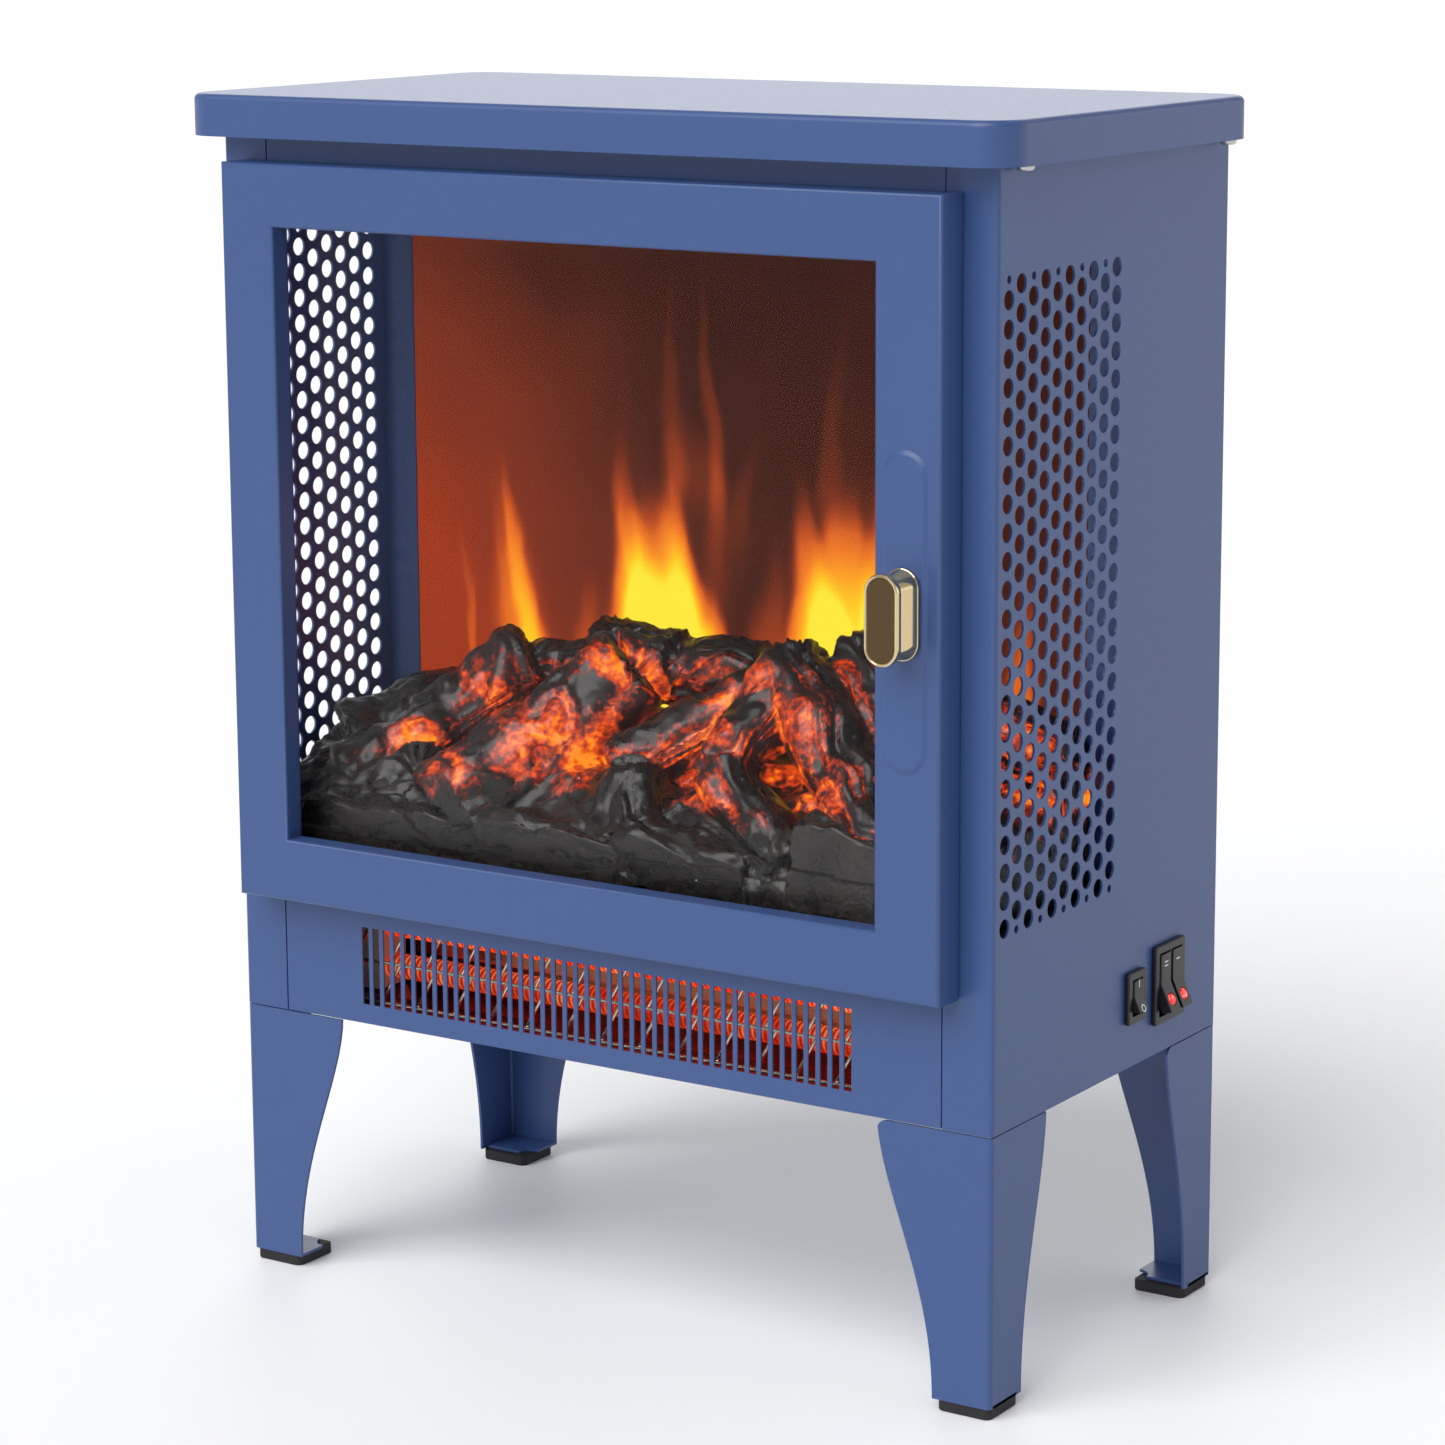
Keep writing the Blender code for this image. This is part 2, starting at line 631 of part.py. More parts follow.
def door_frame():
    """A folded sheet frame, open at the back, with a return round the window."""
    rise = 0.4 * DOOR_EDGE_R
    return_back = DOOR_BACK - GLASS_T - GAP
    front_in = DOOR_FRONT + SHEET
    rings = [door_ring(0, DOOR_BACK), door_ring(0, DOOR_FRONT + DOOR_EDGE_R),
             door_ring(rise, DOOR_FRONT + rise), door_ring(DOOR_EDGE_R, DOOR_FRONT),
             window_ring(DOOR_EDGE_R, DOOR_FRONT), window_ring(rise, DOOR_FRONT + rise),
             window_ring(0, DOOR_FRONT + DOOR_EDGE_R), window_ring(0, return_back),
             window_ring(SHEET, return_back), window_ring(SHEET, front_in),
             door_ring(SHEET, front_in), door_ring(SHEET, DOOR_BACK)]
    piece = part("door_frame", loft(rings, closed=True), "blue_paint", pivot=HINGE)
    emboss = prism("y", stadium(HANDLE_X, HANDLE_Z, EMBOSS_W, EMBOSS_H),
                   DOOR_FRONT - EMBOSS_RISE, DOOR_FRONT + SHEET / 2)
    tool(piece, emboss, "UNION", "emboss")
    cuts = bmesh.new()
    for z, up in hinge_tabs():
        wall = DOOR_Z1 if up > 0 else DOOR_Z0
        low, high = span(z - up * (HINGE_TAB_T + 0.8 * MM), wall - up * SHEET)
        box(DOOR_X0 - SHEET, DOOR_X0 + SHEET + GAP / 2, DOOR_FRONT + SHEET + GAP, 1 * MM, low, high, cuts)
        low, high = span(wall - up * 2 * SHEET, wall + up * SHEET)
        rod("z", HINGE_X, HINGE_Y, HINGE_PIN_D / 2 + GAP, low, high, 16, cuts)
    tool(piece, cuts, "DIFFERENCE", "hinge_cuts")
    hole = rod("y", HANDLE_X, HANDLE_Z, HANDLE_SCREW_D / 2 + GAP, DOOR_FRONT - 3 * MM,
               DOOR_FRONT + 3 * MM, 12)
    tool(piece, hole, "DIFFERENCE", "handle_hole")


def door_glass():
    """A tempered pane laid against the frame's window return from behind."""
    outline = rounded(WIN_X0 - GLASS_LAP, WIN_X1 + GLASS_LAP, WIN_Z0 - GLASS_LAP,
                      WIN_Z1 + GLASS_LAP, 2 * MM, 2)
    pane = prism("y", outline, DOOR_BACK - GLASS_T, DOOR_BACK)
    part("door_glass", pane, "clear_glass", pivot=HINGE)


def glass_retainers():
    """Two spring strips in the frame's hollow that grip the pane's upper and lower edge."""
    for name, edge, up in (("glass_retainer_upper", WIN_Z1, 1), ("glass_retainer_lower", WIN_Z0, -1)):
        lip = edge + up * (GLASS_LAP + GAP)
        wall = edge + up * (SHEET + GAP)
        front = DOOR_FRONT + SHEET + GAP
        pane_front = DOOR_BACK - GLASS_T - GAP
        outline = [(front, wall), (pane_front, wall), (pane_front, lip), (DOOR_BACK, lip),
                   (DOOR_BACK, lip + up * SHEET), (pane_front - SHEET, lip + up * SHEET),
                   (pane_front - SHEET, wall + up * SHEET), (front, wall + up * SHEET)]
        bar = prism("x", outline, WIN_X0 + 20 * MM, WIN_X1 - 20 * MM)
        part(name, bar, "zinc_plate", pivot=HINGE)


def handle():
    """A polished pull knob with round ends, a neck groove and a screw from inside the door."""
    seat = DOOR_FRONT - EMBOSS_RISE - GAP
    tip = seat - HANDLE_OUT + GAP
    levels = ((seat, 0.8), (seat - 0.8 * MM, 0.2), (seat - 5.2 * MM, 0.2), (seat - 6.0 * MM, 1.4),
              (seat - 7.4 * MM, 1.4), (seat - 8.2 * MM, 0.0), (tip + 1.6 * MM, 0.0),
              (tip + 0.4 * MM, 0.5), (tip, 1.8))
    rings = []
    for y, inset in levels:
        points = stadium(HANDLE_X, HANDLE_Z, HANDLE_W - 2 * inset * MM, HANDLE_H - 2 * inset * MM)
        rings.append([(x, y, z) for x, z in points])
    piece = part("door_handle", loft(rings), "gold_plate", pivot=HINGE, smooth=30)
    bore = rod("y", HANDLE_X, HANDLE_Z, HANDLE_SCREW_D / 2 + GAP, tip + 5 * MM, seat + 1 * MM, 12)
    tool(piece, bore, "DIFFERENCE", "bore")
    head = DOOR_FRONT + SHEET + GAP
    profile = [(tip + 6 * MM, HANDLE_SCREW_D / 2), (head, HANDLE_SCREW_D / 2), (head, 4 * MM),
               (head + 1.6 * MM, 3.4 * MM), (head + 2.4 * MM, 1.6 * MM)]
    screw = turned("y", HANDLE_X, HANDLE_Z, profile, 12)
    part("handle_screw", screw, "zinc_plate", pivot=HINGE, smooth=40)


def hinge_tabs():
    """Height of each hinge tab's face nearest its door wall, and the way to that wall."""
    return ((DOOR_Z1 - SHEET - GAP, 1), (DOOR_Z0 + SHEET + GAP, -1))


def hinges():
    """Two brackets on the left front flange and the two pins that the door turns on."""
    for label, (z, up) in zip(("upper", "lower"), hinge_tabs()):
        tab_low, tab_high = span(z, z - up * HINGE_TAB_T)
        nose = HINGE_Y - HINGE_TAB_W / 2
        tab = box(HINGE_X - HINGE_TAB_W / 2, HINGE_X + HINGE_TAB_OUT, nose, -GAP - 0.4 * MM,
                  tab_low, tab_high)
        bracket = part(f"hinge_bracket_{label}", tab, "zinc_plate")
        plate_low, plate_high = span(z - up * 0.1 * MM, z - up * HINGE_PLATE_H)
        plate = box(HINGE_X + HINGE_PLATE_IN, HINGE_X + HINGE_PLATE_W, -GAP - 0.5 * MM, -GAP,
                    plate_low, plate_high)
        tool(bracket, plate, "UNION", "plate")
        bore = rod("z", HINGE_X, HINGE_Y, HINGE_PIN_D / 2 + GAP, tab_low - 1 * MM, tab_high + 1 * MM)
        tool(bracket, bore, "DIFFERENCE", "bore")
        wall = DOOR_Z1 if up > 0 else DOOR_Z0
        pin_low, pin_high = span(wall - up * 0.1 * MM, wall - up * HINGE_PIN_LEN)
        pin = rod("z", HINGE_X, HINGE_Y, HINGE_PIN_D / 2, pin_low, pin_high)
        part(f"hinge_pin_{label}", pin, "zinc_plate", pivot=HINGE, smooth=40)


def catch():
    """A magnet block on the cabinet face and its steel plate in the door's hollow."""
    x = (WIN_X1 + GLASS_LAP + DOOR_X1 - SHEET) / 2
    half = CATCH_W / 2
    z = HANDLE_Z - 40 * MM
    block = box(x - half, x + half, -CATCH_OUT, -GAP, z - 14 * MM, z + 14 * MM)
    part("magnet_catch", block, "black_plastic")
    front = DOOR_FRONT + SHEET + GAP
    strike = rounded(x - half, x + half, z - 15 * MM, z + 15 * MM, 3 * MM, 3)
    part("strike_plate", prism("y", strike, front, -CATCH_OUT - GAP), "zinc_plate", pivot=HINGE)


# ---------------------------------------------------------------- fire chamber

def chamber_floor():
    """The sheet between the fire chamber and the heater bay, folded up along the back."""
    z0 = FLOOR_Z - SHEET
    outline = [(SHEET + GAP, z0), (SCREEN_Y - GAP, z0), (SCREEN_Y - GAP, FLOOR_Z + 8 * MM),
               (SCREEN_Y - GAP - SHEET, FLOOR_Z + 8 * MM), (SCREEN_Y - GAP - SHEET, FLOOR_Z),
               (SHEET + GAP, FLOOR_Z)]
    part("chamber_floor", prism("x", outline, -INNER_X, INNER_X), "dark_paint")


def screen_frame():
    """The upright partition behind the logs, with the opening that the flame screen fills."""
    low = FLOOR_Z - 12 * MM
    opening = rectangle(-INNER_X + SCREEN_STRIP, INNER_X - SCREEN_STRIP, FLOOR_Z + 14 * MM,
                        BODY_TOP - 12 * MM)
    outline = rectangle(-INNER_X, INNER_X, low, BODY_TOP - GAP)
    part("screen_frame", prism("y", outline, SCREEN_Y, SCREEN_Y + SHEET, [opening]), "blue_paint")
    y0 = SCREEN_Y + SHEET + GAP
    reach = INNER_X - SCREEN_STRIP + 6 * MM
    pane = rectangle(-reach, reach, FLOOR_Z + 8 * MM, BODY_TOP - 6 * MM)
    part("flame_screen", prism("y", pane, y0, y0 + SCREEN_T), "amber_film")


# logs of the bed: ends (x, y, height over the chamber floor) and radius, in millimetres
BED_LOGS = (
    ((-150, 86, 46), (-58, 58, 26), 22), ((-118, 78, 58), (-20, 60, 52), 20),
    ((-70, 80, 66), (40, 44, 40), 22), ((-20, 88, 78), (60, 84, 70), 17),
    ((30, 78, 66), (92, 34, 26), 22), ((70, 88, 76), (158, 82, 68), 18),
    ((96, 74, 66), (150, 30, 22), 22), ((-150, 28, 14), (-40, 24, 16), 16),
    ((-30, 30, 22), (60, 22, 14), 18), ((70, 24, 14), (160, 22, 12), 17),
)


def bed_height(x, y):
    """Height of the log bed's upper surface over the chamber floor."""
    best = 9 * MM + 0.42 * max(0.0, y - BED_Y0)
    for start, end, radius in BED_LOGS:
        a = Vector(start) * MM
        b = Vector(end) * MM
        run = (b - a).xy
        t = max(0.0, min(1.0, (Vector((x, y)) - a.xy).dot(run) / run.length_squared))
        away = (a.xy + run * t - Vector((x, y))).length
        if away < radius * MM:
            middle = a.z + (b.z - a.z) * t
            best = max(best, middle + math.sqrt((radius * MM) ** 2 - away ** 2) * 0.8)
    return best


def log_bed():
    """One moulded shell of charred logs and ash, its upper surface a height over a grid."""
    columns = 30
    rows = 9
    base = FLOOR_Z + GAP
    bm = bmesh.new()
    bmesh.ops.create_grid(bm, x_segments=columns, y_segments=rows, size=0.5)
    for vert in bm.verts:
        x = vert.co.x * 2 * BED_HALF_W
        y = BED_Y0 + (vert.co.y + 0.5) * (BED_Y1 - BED_Y0)
        vert.co = (x, y, base)
    lifted = bmesh.ops.extrude_face_region(bm, geom=bm.faces[:])
    for item in lifted["geom"]:
        if isinstance(item, bmesh.types.BMVert):
            item.co.z = base + bed_height(item.co.x, item.co.y)
    bmesh.ops.triangulate(bm, faces=bm.faces)
    under = [face for face in bm.faces if all(v.co.z < base + GAP for v in face.verts)]
    bmesh.ops.dissolve_faces(bm, faces=under)
    part("log_bed", bm, "char_resin")


def light_boards():
    """The lamp strips that light the bed from below and the flames from behind."""
    z1 = FLOOR_Z - SHEET - GAP
    board = box(-EMBER_BOARD_LEN / 2, EMBER_BOARD_LEN / 2, SCREEN_Y - 45 * MM, SCREEN_Y - 25 * MM,
                z1 - BOARD_T, z1)
    part("ember_light_board", board, "circuit_board")
    y0 = SCREEN_Y + SHEET + GAP + SCREEN_T + 8 * MM
    z0 = FLOOR_Z + 17 * MM
    board = box(-FLAME_BOARD_LEN / 2, FLAME_BOARD_LEN / 2, y0, y0 + BOARD_T, z0, z0 + FLAME_BOARD_H)
    part("flame_light_board", board, "circuit_board")


def flame_drive():
    """The turning rod with mirror paddles behind the screen, and its small motor."""
    x0 = -SPINDLE_LEN / 2
    x1 = SPINDLE_LEN / 2
    pivot = (0, SPINDLE_Y, SPINDLE_Z)
    shaft = rod("x", SPINDLE_Y, SPINDLE_Z, SPINDLE_D / 2, x0, x1, 12)
    piece = part("flame_spindle", shaft, "zinc_plate", pivot=pivot)
    paddles = bmesh.new()
    count = 8
    pitch = (SPINDLE_LEN - 2 * PADDLE_INSET) / count
    for i in range(count):
        x = x0 + PADDLE_INSET + pitch * i
        angle = PADDLE_TURN * i
        across = Vector((math.cos(angle), math.sin(angle)))
        thick = Vector((-across.y, across.x)) * 0.4 * MM
        ends = (across * PADDLE_R + thick, -across * PADDLE_R + thick,
                -across * PADDLE_R - thick, across * PADDLE_R - thick)
        outline = [(SPINDLE_Y + point.x, SPINDLE_Z + point.y) for point in ends]
        prism("x", outline, x, x + pitch * 0.7, bm=paddles)
    tool(piece, paddles, "UNION", "paddles")
    profile = [(x1 + GAP, FLAME_MOTOR_R), (x1 + FLAME_MOTOR_T - 1 * MM, FLAME_MOTOR_R),
               (x1 + FLAME_MOTOR_T, FLAME_MOTOR_R - 1 * MM)]
    motor = turned("x", SPINDLE_Y, SPINDLE_Z, profile, 20)
    part("flame_motor", motor, "zinc_plate", smooth=40)
    bracket = [(SPINDLE_Y - 12 * MM, SPINDLE_Z - 14 * MM), (SPINDLE_Y + 12 * MM, SPINDLE_Z - 14 * MM),
               (SPINDLE_Y + 12 * MM, SPINDLE_Z + 14 * MM), (SPINDLE_Y - 12 * MM, SPINDLE_Z + 14 * MM)]
    hole = circle(SPINDLE_Y, SPINDLE_Z, SPINDLE_D / 2 + GAP, 12)
    plate = prism("x", bracket, x0 + 4 * MM, x0 + 6 * MM, [hole])
    part("spindle_bearing", plate, "black_plastic")


# ---------------------------------------------------------------- heater bay

def heat_reflector():
    """A polished trough under and behind the quartz tubes."""
    z0 = LEG_H + SHEET + GAP + 2 * MM
    front = GUARD_Y + GUARD_T + 2 * MM
    top = FLOOR_Z - SHEET - GAP - 12 * MM
    steps = 6
    radius = (top - z0) / 2
    outer = [(front, z0), (REFLECTOR_BACK - radius, z0)]
    inner = [(front, z0 + SHEET), (REFLECTOR_BACK - radius, z0 + SHEET)]
    for i in range(1, steps):
        angle = -math.pi / 2 + math.pi * i / steps
        y = REFLECTOR_BACK - radius + radius * math.cos(angle)
        z = z0 + radius + radius * math.sin(angle)
        outer.append((y, z))
        small = (radius - SHEET) / radius
        inner.append((REFLECTOR_BACK - radius + (y - REFLECTOR_BACK + radius) * small,
                      z0 + radius + (z - z0 - radius) * small))
    outer += [(REFLECTOR_BACK - radius, top), (front, top)]
    inner += [(REFLECTOR_BACK - radius, top - SHEET), (front, top - SHEET)]
    half = TUBE_LEN / 2 + HOLDER_W + 3 * MM
    part("heat_reflector", prism("x", outer + inner[::-1], -half, half), "copper_mirror", smooth=40)


def quartz_tubes():
    """Two glowing tubes held at their ends by ceramic blocks."""
    half = TUBE_LEN / 2
    for name, z in (("quartz_tube_upper", TUBE_UPPER_Z), ("quartz_tube_lower", TUBE_LOWER_Z)):
        part(name, rod("x", TUBE_Y, z, TUBE_D / 2, -half, half, 16), "glow_quartz", smooth=40)
    for name, side in (("tube_holder_left", -1), ("tube_holder_right", 1)):
        x0, x1 = span(side * (half - 4 * MM), side * (half + HOLDER_W))
        outline = rectangle(TUBE_Y - 9 * MM, TUBE_Y + 9 * MM, TUBE_LOWER_Z - 9 * MM,
                            TUBE_UPPER_Z + 9 * MM)
        piece = part(name, prism("x", outline, x0, x1), "ceramic_white")
        bores = bmesh.new()
        for z in (TUBE_UPPER_Z, TUBE_LOWER_Z):
            start, end = span(side * (half - 6 * MM), side * (half + GAP))
            rod("x", TUBE_Y, z, TUBE_D / 2 + GAP, start, end, 16, bores)
        tool(piece, bores, "DIFFERENCE", "bores")


def wire_guard():
    """A lattice guard in front of the tubes: rails with slanted wires between them."""
    half = TUBE_LEN / 2 + HOLDER_W
    low = SLOT_Z0 - 3 * MM
    high = SLOT_Z1 + 3 * MM
    middle = (low + high) / 2
    bay = (2 * half - GUARD_BAR) / GUARD_BAYS
    holes = []
    for z0, z1 in ((low + GUARD_BAR, middle - GUARD_BAR / 2), (middle + GUARD_BAR / 2, high - GUARD_BAR)):
        for i in range(GUARD_BAYS):
            x0 = -half + GUARD_BAR + i * bay
            x1 = x0 + bay - GUARD_BAR
            holes.append([(x0, z0), (x1 - 2 * GUARD_BAR, z0), (x0, z1 - 2 * GUARD_BAR)])
            holes.append([(x1, z1), (x0 + 2 * GUARD_BAR, z1), (x1, z0 + 2 * GUARD_BAR)])
    outline = rectangle(-half, half, low, high)
    part("wire_guard", prism("y", outline, GUARD_Y, GUARD_Y + GUARD_T, holes), "wire_steel")


def blower():
    """A cross-flow fan behind the reflector: scroll, drum and motor."""
    x1 = BLOWER_X0 + BLOWER_LEN
    radius = BLOWER_D / 2
    pivot = (BLOWER_X0 + BLOWER_LEN / 2, BLOWER_Y, BLOWER_Z)
    outline = []
    for i in range(BLOWER_BLADES):
        start = 2 * math.pi * i / BLOWER_BLADES
        width = 2 * math.pi / BLOWER_BLADES
        for share, reach in ((0.0, 0.72), (0.22, 1.0), (0.36, 1.0), (0.30, 0.72)):
            angle = start + width * share
            outline.append((BLOWER_Y + radius * reach * math.cos(angle),
                            BLOWER_Z + radius * reach * math.sin(angle)))
    drum = prism("x", outline, BLOWER_X0, x1)
    piece = part("blower_impeller", drum, "blower_steel", pivot=pivot)
    stub = rod("x", BLOWER_Y, BLOWER_Z, 2 * MM, BLOWER_X0 - 10 * MM, BLOWER_X0 + 2 * MM, 12)
    tool(piece, stub, "UNION", "shaft")
    motor_x1 = BLOWER_X0 - 6 * MM
    block = box(motor_x1 - 26 * MM, motor_x1, BLOWER_Y - 20 * MM, BLOWER_Y + 20 * MM,
                BLOWER_Z - 22 * MM, BLOWER_Z + 22 * MM)
    motor = part("blower_motor", block, "zinc_plate")
    bore = rod("x", BLOWER_Y, BLOWER_Z, 2 * MM + GAP, motor_x1 - 8 * MM, motor_x1 + 1 * MM, 12)
    tool(motor, bore, "DIFFERENCE", "bore")
    steps = 10
    outer_r = radius + 7 * MM
    outer = []
    inner = []
    for i in range(steps + 1):
        angle = math.radians(-70 + 205 * i / steps)
        outer.append((BLOWER_Y + outer_r * math.cos(angle), BLOWER_Z + outer_r * math.sin(angle)))
        inner.append((BLOWER_Y + (outer_r - SHEET) * math.cos(angle),
                      BLOWER_Z + (outer_r - SHEET) * math.sin(angle)))
    scroll = prism("x", outer + inner[::-1], BLOWER_X0 - 2 * MM, x1 + 2 * MM)
    part("blower_housing", scroll, "zinc_plate", smooth=40)


def small_parts():
    """Thermal cut-out, tilt switch, control board and the gland that the supply cord enters by."""
    top = FLOOR_Z - SHEET - GAP - 12 * MM
    profile = [(top + GAP, 8 * MM), (top + 6 * MM, 8 * MM), (top + 7 * MM, 6 * MM)]
    part("thermal_cutout", turned("z", -60 * MM, TUBE_Y + 4 * MM, profile, 16), "ceramic_white", smooth=40)
    floor = LEG_H + SHEET + GAP
    block = box(TILT_X, TILT_X + 24 * MM, BODY_D - 36 * MM, BODY_D - 16 * MM, floor, floor + 22 * MM)
    part("tilt_switch", block, "black_plastic")
    board_y = BODY_D - 24 * MM
    board = box(-60 * MM, 70 * MM, board_y, board_y + BOARD_T, floor + 8.4 * MM, floor + 60.4 * MM)
    part("control_board", board, "circuit_board")
    inside = BODY_D - SHEET - GAP
    profile = [(inside - 8 * MM, GLAND_NECK_R - 0.6 * MM), (inside - 7 * MM, GLAND_NECK_R),
               (BODY_D + GAP, GLAND_NECK_R), (BODY_D + GAP, GLAND_NECK_R + 3 * MM),
               (BODY_D + 2.5 * MM, GLAND_NECK_R + 3 * MM), (BACK_EXTREME, GLAND_NECK_R - 1 * MM)]
    piece = part("cord_gland", turned("y", GLAND_X, GLAND_Z, profile, 16), "black_plastic", smooth=40)
    bore = rod("y", GLAND_X, GLAND_Z, GLAND_BORE_R, inside - 12 * MM, BACK_EXTREME + 4 * MM, 12)
    tool(piece, bore, "DIFFERENCE", "bore")


# ---------------------------------------------------------------- switches

def switch_body(name, y, width, height, bays):
    """A snap-in switch: bezel outside the panel, housing inside, a pocket for each rocker."""
    face = HALF_W + GAP
    half_w = width / 2
    half_h = height / 2
    bezel = rounded(y - half_w, y + half_w, SWITCH_Z - half_h, SWITCH_Z + half_h, 1.2 * MM, 3)
    piece = part(name, prism("x", bezel, face, face + BEZEL_T), "black_plastic")
    core_w = half_w - BEZEL_RIM
    core_h = half_h - BEZEL_RIM
    core = box(HALF_W - SWITCH_DEPTH, face + 0.5 * MM, y - core_w, y + core_w,
               SWITCH_Z - core_h, SWITCH_Z + core_h)
    tool(piece, core, "UNION", "housing")
    pockets = bmesh.new()
    for bay_y, bay_half in bays:
        box(HALF_W - ROCKER_DEEP, face + BEZEL_T + 1 * MM, bay_y - bay_half, bay_y + bay_half,
            SWITCH_Z - core_h + SHEET, SWITCH_Z + core_h - SHEET, pockets)
    tool(piece, pockets, "DIFFERENCE", "pockets")


def rocker(name, y, half_w, half_h):
    """A two-faced rocker at rest with its upper half pressed in."""
    pivot = (ROCKER_AXIS, y, SWITCH_Z)
    cos_tilt = math.cos(ROCKER_TILT)
    sin_tilt = math.sin(ROCKER_TILT)
    slope = math.tan(ROCKER_TILT)
    reach = (half_h - ROCKER_CLEAR - ROCKER_FACE * sin_tilt) / (cos_tilt + slope * sin_tilt)
    tip_x = ROCKER_FACE + reach * slope
    flat = [(ROCKER_FACE, 0.0), (tip_x, reach), (tip_x - 4.5 * MM, reach), (-3.0 * MM, 2.5 * MM),
            (-3.0 * MM, -2.5 * MM), (tip_x - 4.5 * MM, -reach), (tip_x, -reach)]
    outline = [(ROCKER_AXIS + x * cos_tilt - z * sin_tilt, SWITCH_Z + x * sin_tilt + z * cos_tilt)
               for x, z in flat]
    return part(name, prism("y", outline, y - half_w, y + half_w), "black_plastic", pivot=pivot)


def switches():
    """The single power switch and the double heat switch with a lamp in each rocker."""
    bay_half = POWER_BEZEL_W / 2 - BEZEL_RIM - SHEET
    core_h = POWER_BEZEL_H / 2 - BEZEL_RIM - SHEET
    switch_body("power_switch_body", POWER_Y, POWER_BEZEL_W, POWER_BEZEL_H, [(POWER_Y, bay_half)])
    rocker("power_rocker", POWER_Y, bay_half - ROCKER_CLEAR, core_h)
    core_w = HEAT_BEZEL_W / 2 - BEZEL_RIM
    core_h = HEAT_BEZEL_H / 2 - BEZEL_RIM - SHEET
    bay_half = (core_w - 1.5 * SHEET) / 2
    offset = bay_half + SHEET / 2
    bays = [(HEAT_Y - offset, bay_half), (HEAT_Y + offset, bay_half)]
    switch_body("heat_switch_body", HEAT_Y, HEAT_BEZEL_W, HEAT_BEZEL_H, bays)
    for label, (bay_y, bay) in zip(("low", "high"), bays):
        piece = rocker(f"heat_rocker_{label}", bay_y, bay - ROCKER_CLEAR, core_h)
        lens(piece, label, bay_y, core_h)


def lens(piece, label, y, half_h):
    """A round lamp window set in the lower half of a rocker."""
    down = -half_h * 0.52
    face_x = ROCKER_FACE - down * math.tan(ROCKER_TILT)
    pivot = (ROCKER_AXIS, y, SWITCH_Z)
    tilt = Matrix.Rotation(-ROCKER_TILT, 4, "Y")
    seat = Matrix.Translation(pivot) @ tilt @ Matrix.Translation((face_x, 0, down)) @ tilt
    hole = rod("x", 0, 0, LENS_D / 2 + GAP, -1.6 * MM, 4 * MM, 12)
    bmesh.ops.transform(hole, matrix=seat, verts=hole.verts)
    tool(piece, hole, "DIFFERENCE", "lens_hole")
    profile = [(-1.3 * MM, LENS_D / 2), (0.3 * MM, LENS_D / 2), (0.8 * MM, LENS_D / 2 * 0.6)]
    window = turned("x", 0, 0, profile, 12)
    bmesh.ops.transform(window, matrix=seat, verts=window.verts)
    part(f"lamp_lens_{label}", window, "red_lens", pivot=pivot, smooth=50)


HINGE = (HINGE_X, HINGE_Y, DOOR_Z0)

clear_scene()
CABINET = bpy.data.objects.new("cabinet", None)
CABINET.location = (0, -MID_Y, 0)
bpy.context.scene.collection.objects.link(CABINET)

side_panel("left_side_panel", -1)
side_panel("right_side_panel", 1)
front_panel()
back_panel()
base_plate()
top_lid()
top_plate()
lid_screws()
leg("leg_front_left", -1, 1)
leg("leg_front_right", 1, 1)
leg("leg_back_left", -1, -1)
leg("leg_back_right", 1, -1)
door_frame()
door_glass()
glass_retainers()
handle()
hinges()
catch()
chamber_floor()
screen_frame()
log_bed()
light_boards()
flame_drive()
heat_reflector()
quartz_tubes()
wire_guard()
blower()
small_parts()
switches()
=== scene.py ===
"""Free-standing electric stove: its finished surfaces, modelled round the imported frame.

The frame gives every place and size. Each class below is one sub-assembly of the stove: it reads
its places from the frame, models its pieces with Blender's own edit tools and dresses them.
"""
from __future__ import annotations

import json
import logging
import math
from collections.abc import Callable, Iterator, Sequence
from contextlib import contextmanager
from dataclasses import dataclass
from enum import Enum

import bmesh
import bpy
from mathutils import Matrix, Vector, noise

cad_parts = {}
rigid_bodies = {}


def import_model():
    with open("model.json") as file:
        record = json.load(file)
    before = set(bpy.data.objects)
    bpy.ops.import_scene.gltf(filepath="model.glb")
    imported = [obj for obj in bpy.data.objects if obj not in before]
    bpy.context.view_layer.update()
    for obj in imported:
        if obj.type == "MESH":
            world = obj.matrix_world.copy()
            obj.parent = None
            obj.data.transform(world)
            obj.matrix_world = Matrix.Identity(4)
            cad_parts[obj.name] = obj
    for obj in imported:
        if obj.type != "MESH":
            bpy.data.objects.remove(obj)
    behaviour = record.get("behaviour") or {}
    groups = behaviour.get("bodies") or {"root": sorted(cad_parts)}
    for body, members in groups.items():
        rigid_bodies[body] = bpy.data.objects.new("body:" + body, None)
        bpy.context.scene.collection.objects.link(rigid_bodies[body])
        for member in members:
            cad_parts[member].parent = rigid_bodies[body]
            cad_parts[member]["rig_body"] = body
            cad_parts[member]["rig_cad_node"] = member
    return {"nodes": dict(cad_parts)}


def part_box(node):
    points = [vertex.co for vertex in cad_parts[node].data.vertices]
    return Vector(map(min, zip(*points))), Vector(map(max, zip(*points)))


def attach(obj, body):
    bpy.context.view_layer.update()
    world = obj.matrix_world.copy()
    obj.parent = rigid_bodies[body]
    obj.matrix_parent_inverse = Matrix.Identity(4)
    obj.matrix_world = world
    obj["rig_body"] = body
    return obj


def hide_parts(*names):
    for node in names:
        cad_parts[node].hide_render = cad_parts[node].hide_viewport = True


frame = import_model()

LOG = logging.getLogger("stove")
MM = 0.001
BODY = "cabinet"
DOOR = "door"


